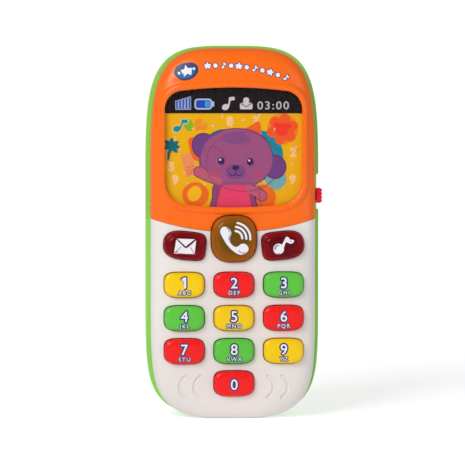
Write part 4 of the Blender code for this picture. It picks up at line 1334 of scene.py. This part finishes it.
def build_ground():
    """Small pale shapes in a sunflower pattern, with a few digits."""
    count = 46
    loops = []
    for k in range(count):
        turn = GOLDEN_ANGLE * k
        reach = sqrt((k + 0.5) / count)
        x = 27.5 * reach * cos(turn)
        z = 105.5 + 19.5 * reach * sin(turn)
        kind = k % 3
        if kind == 0:
            loops.append(star(x, z, 0.9, 0.5, turn))
        elif kind == 1:
            loops += note_loops(x, z, 1.1, 0.5 * sin(turn))
        else:
            loops.append(disc(x, z, 0.5))
    art("confetti", 0, PALE_INK, loops)
    digits = (("9", -23.6, 97.6), ("9", 24.0, 97.6), ("2", 24.2, 108.6), ("8", -1.5, 121.2),
              ("3", 9.0, 121.4), ("5", -25.2, 102.9))
    for k, (digit, x, z) in enumerate(digits):
        work = text_flat(digit, 3.5, (x, z))
        thicken(work.copy(), 0.35, work)
        art("digit_%d" % k, 1, PALE_INK, work)


def build_flowers():
    """Leaf, note, butterfly, palm and flower round the edge."""
    art("lime", 1, (138, 190, 40), [disc(-18.2, 119.6, 1.9, 2.6, 0.4)])
    note = bold_note(-21.3, 119.3, 2.5, -0.15)
    art("note_rim", 2, PALE_INK, thicken(flat_loops(note), 0.4))
    art("note", 3, (0, 150, 160), note)
    wings = [disc(-14.2, 120.6, 1.9, 1.3, 0.7), disc(-11.9, 118.9, 1.7, 1.3, 0.9),
             disc(-14.3, 118.3, 1.2, 1.0, 0.2)]
    art("butterfly", 2, (244, 150, 34), wings)
    leaf = smooth([(0, 0), (1.5, 1.1), (3.4, 0.3), (1.9, -0.7)])
    palm = [stroke([(-26.4, 105.6), (-26.1, 108.2), (-25.2, 110.4)], [0.8, 1.3, 1.6])]
    palm += [move(leaf, -25.2, 110.9, 1.05, radians(turn)) for turn in (-50, -10, 30, 80, 130, 185)]
    art("palm", 3, (0, 112, 124), palm)
    cx, cz = 19.9, 117.9
    turns = [2 * pi * k / 6 + 0.3 for k in range(6)]
    art("flower_glow", 1, (248, 140, 40), [disc(cx, cz, 6.3)])
    petals = [disc(cx + 3.6 * cos(t), cz + 3.5 * sin(t), 2.9, 2.3, t) for t in turns]
    art("flower", 2, (248, 92, 32), petals)
    heart = [disc(19.7, 117.7, 2.6), disc(17.4, 119.6, 1.2), disc(22.4, 119.2, 1.2)]
    art("flower_heart", 3, (250, 56, 44), heart)


def build_shapes_behind():
    """Plain shapes behind the bear."""
    art("teal_side", 2, (0, 142, 168), [disc(10.6, 107.2, 9.6, 10.2)])
    art("teal_top", 3, (34, 110, 150), [disc(-4.6, 110.2, 8.6, 7.4, 0.5)])
    ears = [smooth([(2.6, 116.6), (6.8, 119.2), (10.2, 121.0), (11.2, 117.4), (10.8, 113.0), (6.0, 112.0)]),
            smooth([(-18.3, 113.4), (-14.6, 114.4), (-9.6, 112.0), (-11.0, 106.0), (-16.0, 105.6)])]
    art("ears_back", 4, (246, 104, 30), ears)
    wing = smooth([(13.0, 98.6), (18.2, 101.2), (21.4, 98.6), (20.2, 94.6), (15.6, 93.4)])
    art("wing", 3, (120, 176, 178), [wing])
    feet = [disc(-15.4, 91.4, 5.4, 5.0),
            smooth([(10.4, 95.0), (15.2, 94.2), (17.2, 90.8), (15.6, 86.4), (9.4, 86.0)])]
    art("feet", 4, (244, 112, 22), feet)
    art("foot_pad", 5, (250, 190, 20), [disc(-15.8, 91.8, 2.7, 3.3, -0.5)])
    bottle = [rounded_box(-2.4, -4.6, 2.4, 4.6, 0.8)]
    dots = [disc(-1.2 + 1.2 * (k % 3), -3.4 + 1.3 * (k // 3), 0.36) for k in range(9)]
    bottle, *dots = [move(loop, -18.0, 103.4, 1.0, 0.25) for loop in bottle + dots]
    art("bottle", 4, (244, 150, 96), [bottle])
    art("bottle_dots", 5, (238, 84, 48), dots)


def build_bear():
    body = smooth(BEAR_BODY)
    arms = [stroke([(-6.0, 96.8), (-10.2, 98.6), (-14.0, 100.6)], [3.2, 3.6, 4.0]),
            stroke([(6.6, 93.6), (9.6, 92.4), (11.6, 90.8)], [3.4, 3.8, 4.0])]
    head = smooth(BEAR_HEAD)
    ears = [disc(-11.8, 111.0, 4.7, 5.2, 0.5), disc(16.8, 102.6, 4.4, 4.6)]
    art("bear_line", 6, (86, 42, 104), thicken(flat_loops([body] + arms + [head] + ears), 0.3))
    # A fainter second outline, as a picture that changes with the view shows.
    second = [move(head, 2.6, -1.4), move(ears[0], 3.2, -5.4), move(body, 1.8, -0.6)]
    art("second_line", 9.6, (126, 62, 120), thicken(flat_loops(second), 0.24))
    belly = smooth([(-5.2, 94.0), (-4.6, 95.0), (5.0, 95.0), (5.8, 93.6), (6.4, 84.0), (-6.0, 84.0)])
    mouth = [disc(0.9, 102.3, 1.5, 0.95), stroke([(0.9, 101.6), (0.9, 100.2)], 0.3)]
    mouth += [stroke(arc(x, 100.3, 1.25, 190, 350, 8), 0.32) for x in (-0.35, 2.15)]
    for name, layer, color, loops in (
            ("ears", 7, (118, 66, 136), ears),
            ("body", 7, (150, 70, 124), [body]),
            ("arms", 9, (196, 92, 120), arms),
            ("head", 8, (164, 84, 132), [head]),
            ("belly", 8.5, (236, 66, 108), [belly]),
            ("cheek", 10, (182, 78, 118), [disc(-7.2, 100.2, 2.3, 1.7), disc(9.6, 99.6, 2.3, 1.7)]),
            ("brow", 10, (142, 78, 136), [disc(1.2, 114.0, 5.6, 2.3)]),
            ("snout", 11, (132, 74, 140), [disc(0.9, 100.6, 4.1, 3.1)]),
            ("eyes", 11, (62, 30, 88), [disc(-5.0, 105.0, 1.35, 1.5), disc(6.8, 104.7, 1.35, 1.5)]),
            ("face", 12, (58, 28, 80), mouth),
            ("glint", 13, (236, 226, 236), [disc(-5.4, 105.5, 0.42), disc(6.4, 105.2, 0.42)])):
        art("bear_" + name, layer, color, loops)


# --- build
M = {}
# Moulded plastics: name, colour, roughness, grain, gloss.
PLASTICS = {
    "white": ("front_white_abs", (234, 228, 225), 0.33, 0.02, 0.4),
    "orange": ("orange_abs", (255, 108, 4), 0.27, 0.02, 0.34),
    "green": ("green_abs", (146, 218, 88), 0.32, 0.02, 0.3),
    "yellow_key": ("yellow_key_abs", (250, 206, 0), 0.24, 0.02, 0.3),
    "red_key": ("red_key_abs", (250, 20, 20), 0.24, 0.02, 0.3),
    "green_key": ("green_key_abs", (94, 200, 64), 0.24, 0.02, 0.3),
    "knob": ("knob_red_abs", (228, 26, 46), 0.3),
    "rubber": ("silicone_mat", (170, 168, 164), 0.62, 0.05),
    "chip_black": ("epoxy_blob", (22, 22, 24), 0.3, 0.03),
    "can_dark": ("capacitor_sleeve", (28, 34, 66), 0.25),
    "led_clear": ("led_epoxy", (222, 222, 216), 0.12),
    "switch_black": ("switch_lever", (24, 24, 24), 0.5),
    "magnet_dark": ("ferrite", (62, 62, 64), 0.55, 0.06),
    "wire_red": ("wire_red_pvc", (196, 22, 24), 0.42),
    "wire_black": ("wire_black_pvc", (26, 26, 28), 0.42),
    "wire_yellow": ("wire_yellow_pvc", (226, 190, 40), 0.42),
}
INKS = {
    "print_white": (240, 238, 246),
    "print_navy": (20, 38, 104),
    "print_navy_badge": (20, 52, 104),
    "print_sky": (34, 98, 150),
    "print_wine": (96, 4, 16),
    "print_brown": (92, 52, 8),
}
METALS = {
    "screw_steel": ("zinc_screw", (190, 192, 196), 0.3),
    "switch_steel": ("switch_tin", (186, 186, 184), 0.35),
    "contact_nickel": ("spring_nickel", (206, 200, 186), 0.25),
    "speaker_steel": ("speaker_basket", (160, 160, 164), 0.4),
}
# Clear caps: name, colour at the rim, colour in the middle; the lighter rim colour is a painted glow of
# light coming through the thin edge.
CLEAR_CAPS_WITH_RIM_GLOW = {
    "mail": ("clear_red_left", (150, 0, 18), (96, 0, 10)),
    "music": ("clear_red_right", (150, 0, 18), (96, 0, 10)),
    "call": ("clear_amber", (178, 92, 6), (112, 74, 4)),
}


def make_materials():
    for key, (name, color, *rest) in PLASTICS.items():
        M[key] = moulded_plastic(name, srgb(*color), *rest)
    for key, (name, color, rough) in METALS.items():
        M[key] = metal(name, srgb(*color), rough)
    for name, color in INKS.items():
        M[name] = ink(name, srgb(*color))
    for key, (name, rim, core) in CLEAR_CAPS_WITH_RIM_GLOW.items():
        M[key] = tinted_plastic(name, srgb(*rim), srgb(*core), key + "_button")
    M["lens_clear"] = lens_plastic()
    M["picture_print"] = card_ink("card_ground", srgb(244, 184, 0))
    M["board_green"] = circuit_board()
    M["cone_paper"] = paper_cone()


def finish_packed_nodes():
    """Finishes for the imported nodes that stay: each slot's name is a key of M."""
    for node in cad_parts.values():
        for socket in node.material_slots:
            kind = socket.material.name.split(".")[0]
            if kind in M:
                socket.material = M[kind]


def lens_plastic():
    """Clear ribbed plastic: a glossy skin that shows more at a slant, over a clear body."""
    n = Nodes("ribbed_lens")
    n.set(Base_Color=WHITE, Metallic=1.0, Normal=n.bump(n.ribs(), 0.08, 0.0001),
          Roughness=n.remap(n.noise(300.0, 3.0), 0.1, 0.2))
    slant = n.add("LayerWeight", [("Blend", 0.1)]).outputs["Facing"]
    clear = n.add("BsdfTransparent").outputs[0]
    share = n.remap(slant, 0.006, 0.9, 0.0, 1.0)
    mix = n.add("MixShader", [(0, share), (1, clear), (2, n.shader.outputs[0])])
    n.feed(n.output.inputs["Surface"], mix.outputs[0])
    return n.mat


def card_ink(name, color):
    """Printed card seen through ribs: faint level bands and speckle in the colour."""
    n = Nodes("ink_" + name)
    banded = mix_color(n, n.ribs(), shade(color, 0.84), shade(color, 1.06))
    speck = n.remap(n.noise(1800.0, 2.0), 0.0, 0.5, 0.35, 0.7)
    n.set(Base_Color=mix_color(n, speck, banded, shade(color, 0.94)),
          Roughness=n.remap(n.noise(700.0, 2.0), 0.42, 0.55), Specular_IOR_Level=0.12)
    return n.mat


def circuit_board():
    n = Nodes("solder_mask")
    cells = n.add("TexVoronoi", [("Scale", 260.0), ("Vector", n.coords())], feature='DISTANCE_TO_EDGE')
    track = n.remap(cells.outputs["Distance"], 1.0, 0.0, 0.02, 0.06)
    n.set(Base_Color=mix_color(n, track, srgb(12, 86, 44), srgb(34, 124, 66)),
          Roughness=n.remap(n.noise(500.0), 0.3, 0.45))
    return n.mat


def paper_cone():
    n = Nodes("paper_cone")
    fibre = n.noise(1400.0, 5.0, 0.7)
    n.set(Base_Color=mix_color(n, fibre, srgb(34, 33, 32), srgb(66, 64, 61)),
          Normal=n.bump(fibre, 0.4, 0.0002), Roughness=0.85)
    return n.mat


def battery_skin(name, minus_z, plus_z):
    """Wrapped cell: dark blue, a copper band near the positive end, bare metal at both ends."""
    n = Nodes(name)
    height = n.add("SeparateXYZ", [(0, n.coords())]).outputs[2]
    share = n.remap(height, 0.0, 1.0, minus_z * MM, plus_z * MM)
    band = n.remap(share, 0.0, 1.0, 0.66, 0.665)
    wrap = mix_color(n, band, srgb(26, 44, 92), srgb(198, 116, 52))
    tip = n.remap(share, 0.0, 1.0, 0.955, 0.96)
    base = n.remap(share, 1.0, 0.0, 0.008, 0.014)
    bare = n.math('MAXIMUM', tip, base)
    n.set(Base_Color=mix_color(n, bare, wrap, srgb(188, 188, 192)), Metallic=bare,
          Roughness=n.remap(n.noise(500.0), 0.22, 0.34))
    return n.mat


def build_keys():
    for digit, (color, _) in NUMBER_KEYS.items():
        build_key("key_%d" % digit, M[color + "_key"], "key_" + color)
    for button, slot_name in (("mail", "button_red"), ("music", "button_red"), ("call", "button_amber")):
        build_key(button + "_button", M[button], slot_name)


FLOOR_HALF = 4000
WORLD_LIGHT = 0.36
WORLD_SEEN = 1.05


def build_stage():
    far = FLOOR_HALF
    corners = [(-far, -far, 0), (far, -far, 0), (far, far, 0), (-far, far, 0)]
    floor = mesh_object("floor", corners, [(0, 1, 2, 3)])
    n = Nodes("floor_paper")
    seen = n.add("LightPath").outputs["Is Camera Ray"]
    glow = n.math('MULTIPLY', n.remap(n.length(n.coords()), 0.52, 0.74, 0.1, 1.2),
                  n.remap(seen, 0.3, 1.0, 0.0, 1.0))
    n.set(Base_Color=(0.92, 0.92, 0.92, 1.0), Roughness=0.9, Emission_Color=WHITE, Emission_Strength=glow)
    floor.data.materials.append(n.mat)

    world = bpy.data.worlds.new("studio")
    world.use_nodes = True
    tree = world.node_tree
    mix = tree.nodes.new("ShaderNodeMixShader")
    path = tree.nodes.new("ShaderNodeLightPath")
    tree.links.new(path.outputs["Is Camera Ray"], mix.inputs[0])
    for k, strength in ((1, WORLD_LIGHT), (2, WORLD_SEEN)):
        back = tree.nodes.new("ShaderNodeBackground")
        back.inputs["Color"].default_value = WHITE
        back.inputs["Strength"].default_value = strength
        tree.links.new(back.outputs[0], mix.inputs[k])
    tree.links.new(mix.outputs[0], tree.nodes["World Output"].inputs["Surface"])
    bpy.context.scene.world = world


LIGHT_TARGET = (0, 0, 0.08)


def area_light(name, location, size, power):
    data = bpy.data.lights.new(name, 'AREA')
    data.shape = 'RECTANGLE'
    data.size, data.size_y = size
    data.energy = power
    lamp = add_object(name, data)
    lamp.location = location
    lamp.rotation_euler = (Vector(LIGHT_TARGET) - Vector(location)).to_track_quat('-Z', 'Y').to_euler()


def build_lights():
    area_light("key_softbox", (-0.55, -0.75, 0.62), (0.5, 0.5), 6.1)
    area_light("fill_softbox", (0.9, -0.8, 0.3), (0.7, 0.9), 2.0)


CAMERA_AIM = (0.1, 0.0, 75.6)
CAMERA_AZIMUTH = -3.0
CAMERA_ELEVATION = 2.5
CAMERA_DISTANCE = 900.0
CAMERA_LENS = 170.0


def build_camera():
    data = bpy.data.cameras.new("camera")
    data.sensor_width = 36.0
    data.lens = CAMERA_LENS
    data.clip_start = 0.05
    data.clip_end = 50.0
    cam = add_object("camera", data)
    a = radians(CAMERA_AZIMUTH)
    e = radians(CAMERA_ELEVATION)
    aim = Vector(CAMERA_AIM) * MM
    direction = Vector((sin(a) * cos(e), -cos(a) * cos(e), sin(e)))
    cam.location = aim + direction * CAMERA_DISTANCE * MM
    cam.rotation_euler = (-direction).to_track_quat('-Z', 'Y').to_euler()
    bpy.context.scene.camera = cam
    bpy.context.scene.view_settings.view_transform = 'Standard'


make_materials()
finish_packed_nodes()
build_front_case(M["white"])
build_screen_bezel(M["orange"])
build_rear_case(M["green"])
build_door(M["green"])
build_knob(M["knob"])
build_screws()
build_batteries()
build_mat()
build_keys()
build_key_prints()
build_icons()
build_top_prints()
build_picture()
build_stage()
build_lights()
build_camera()
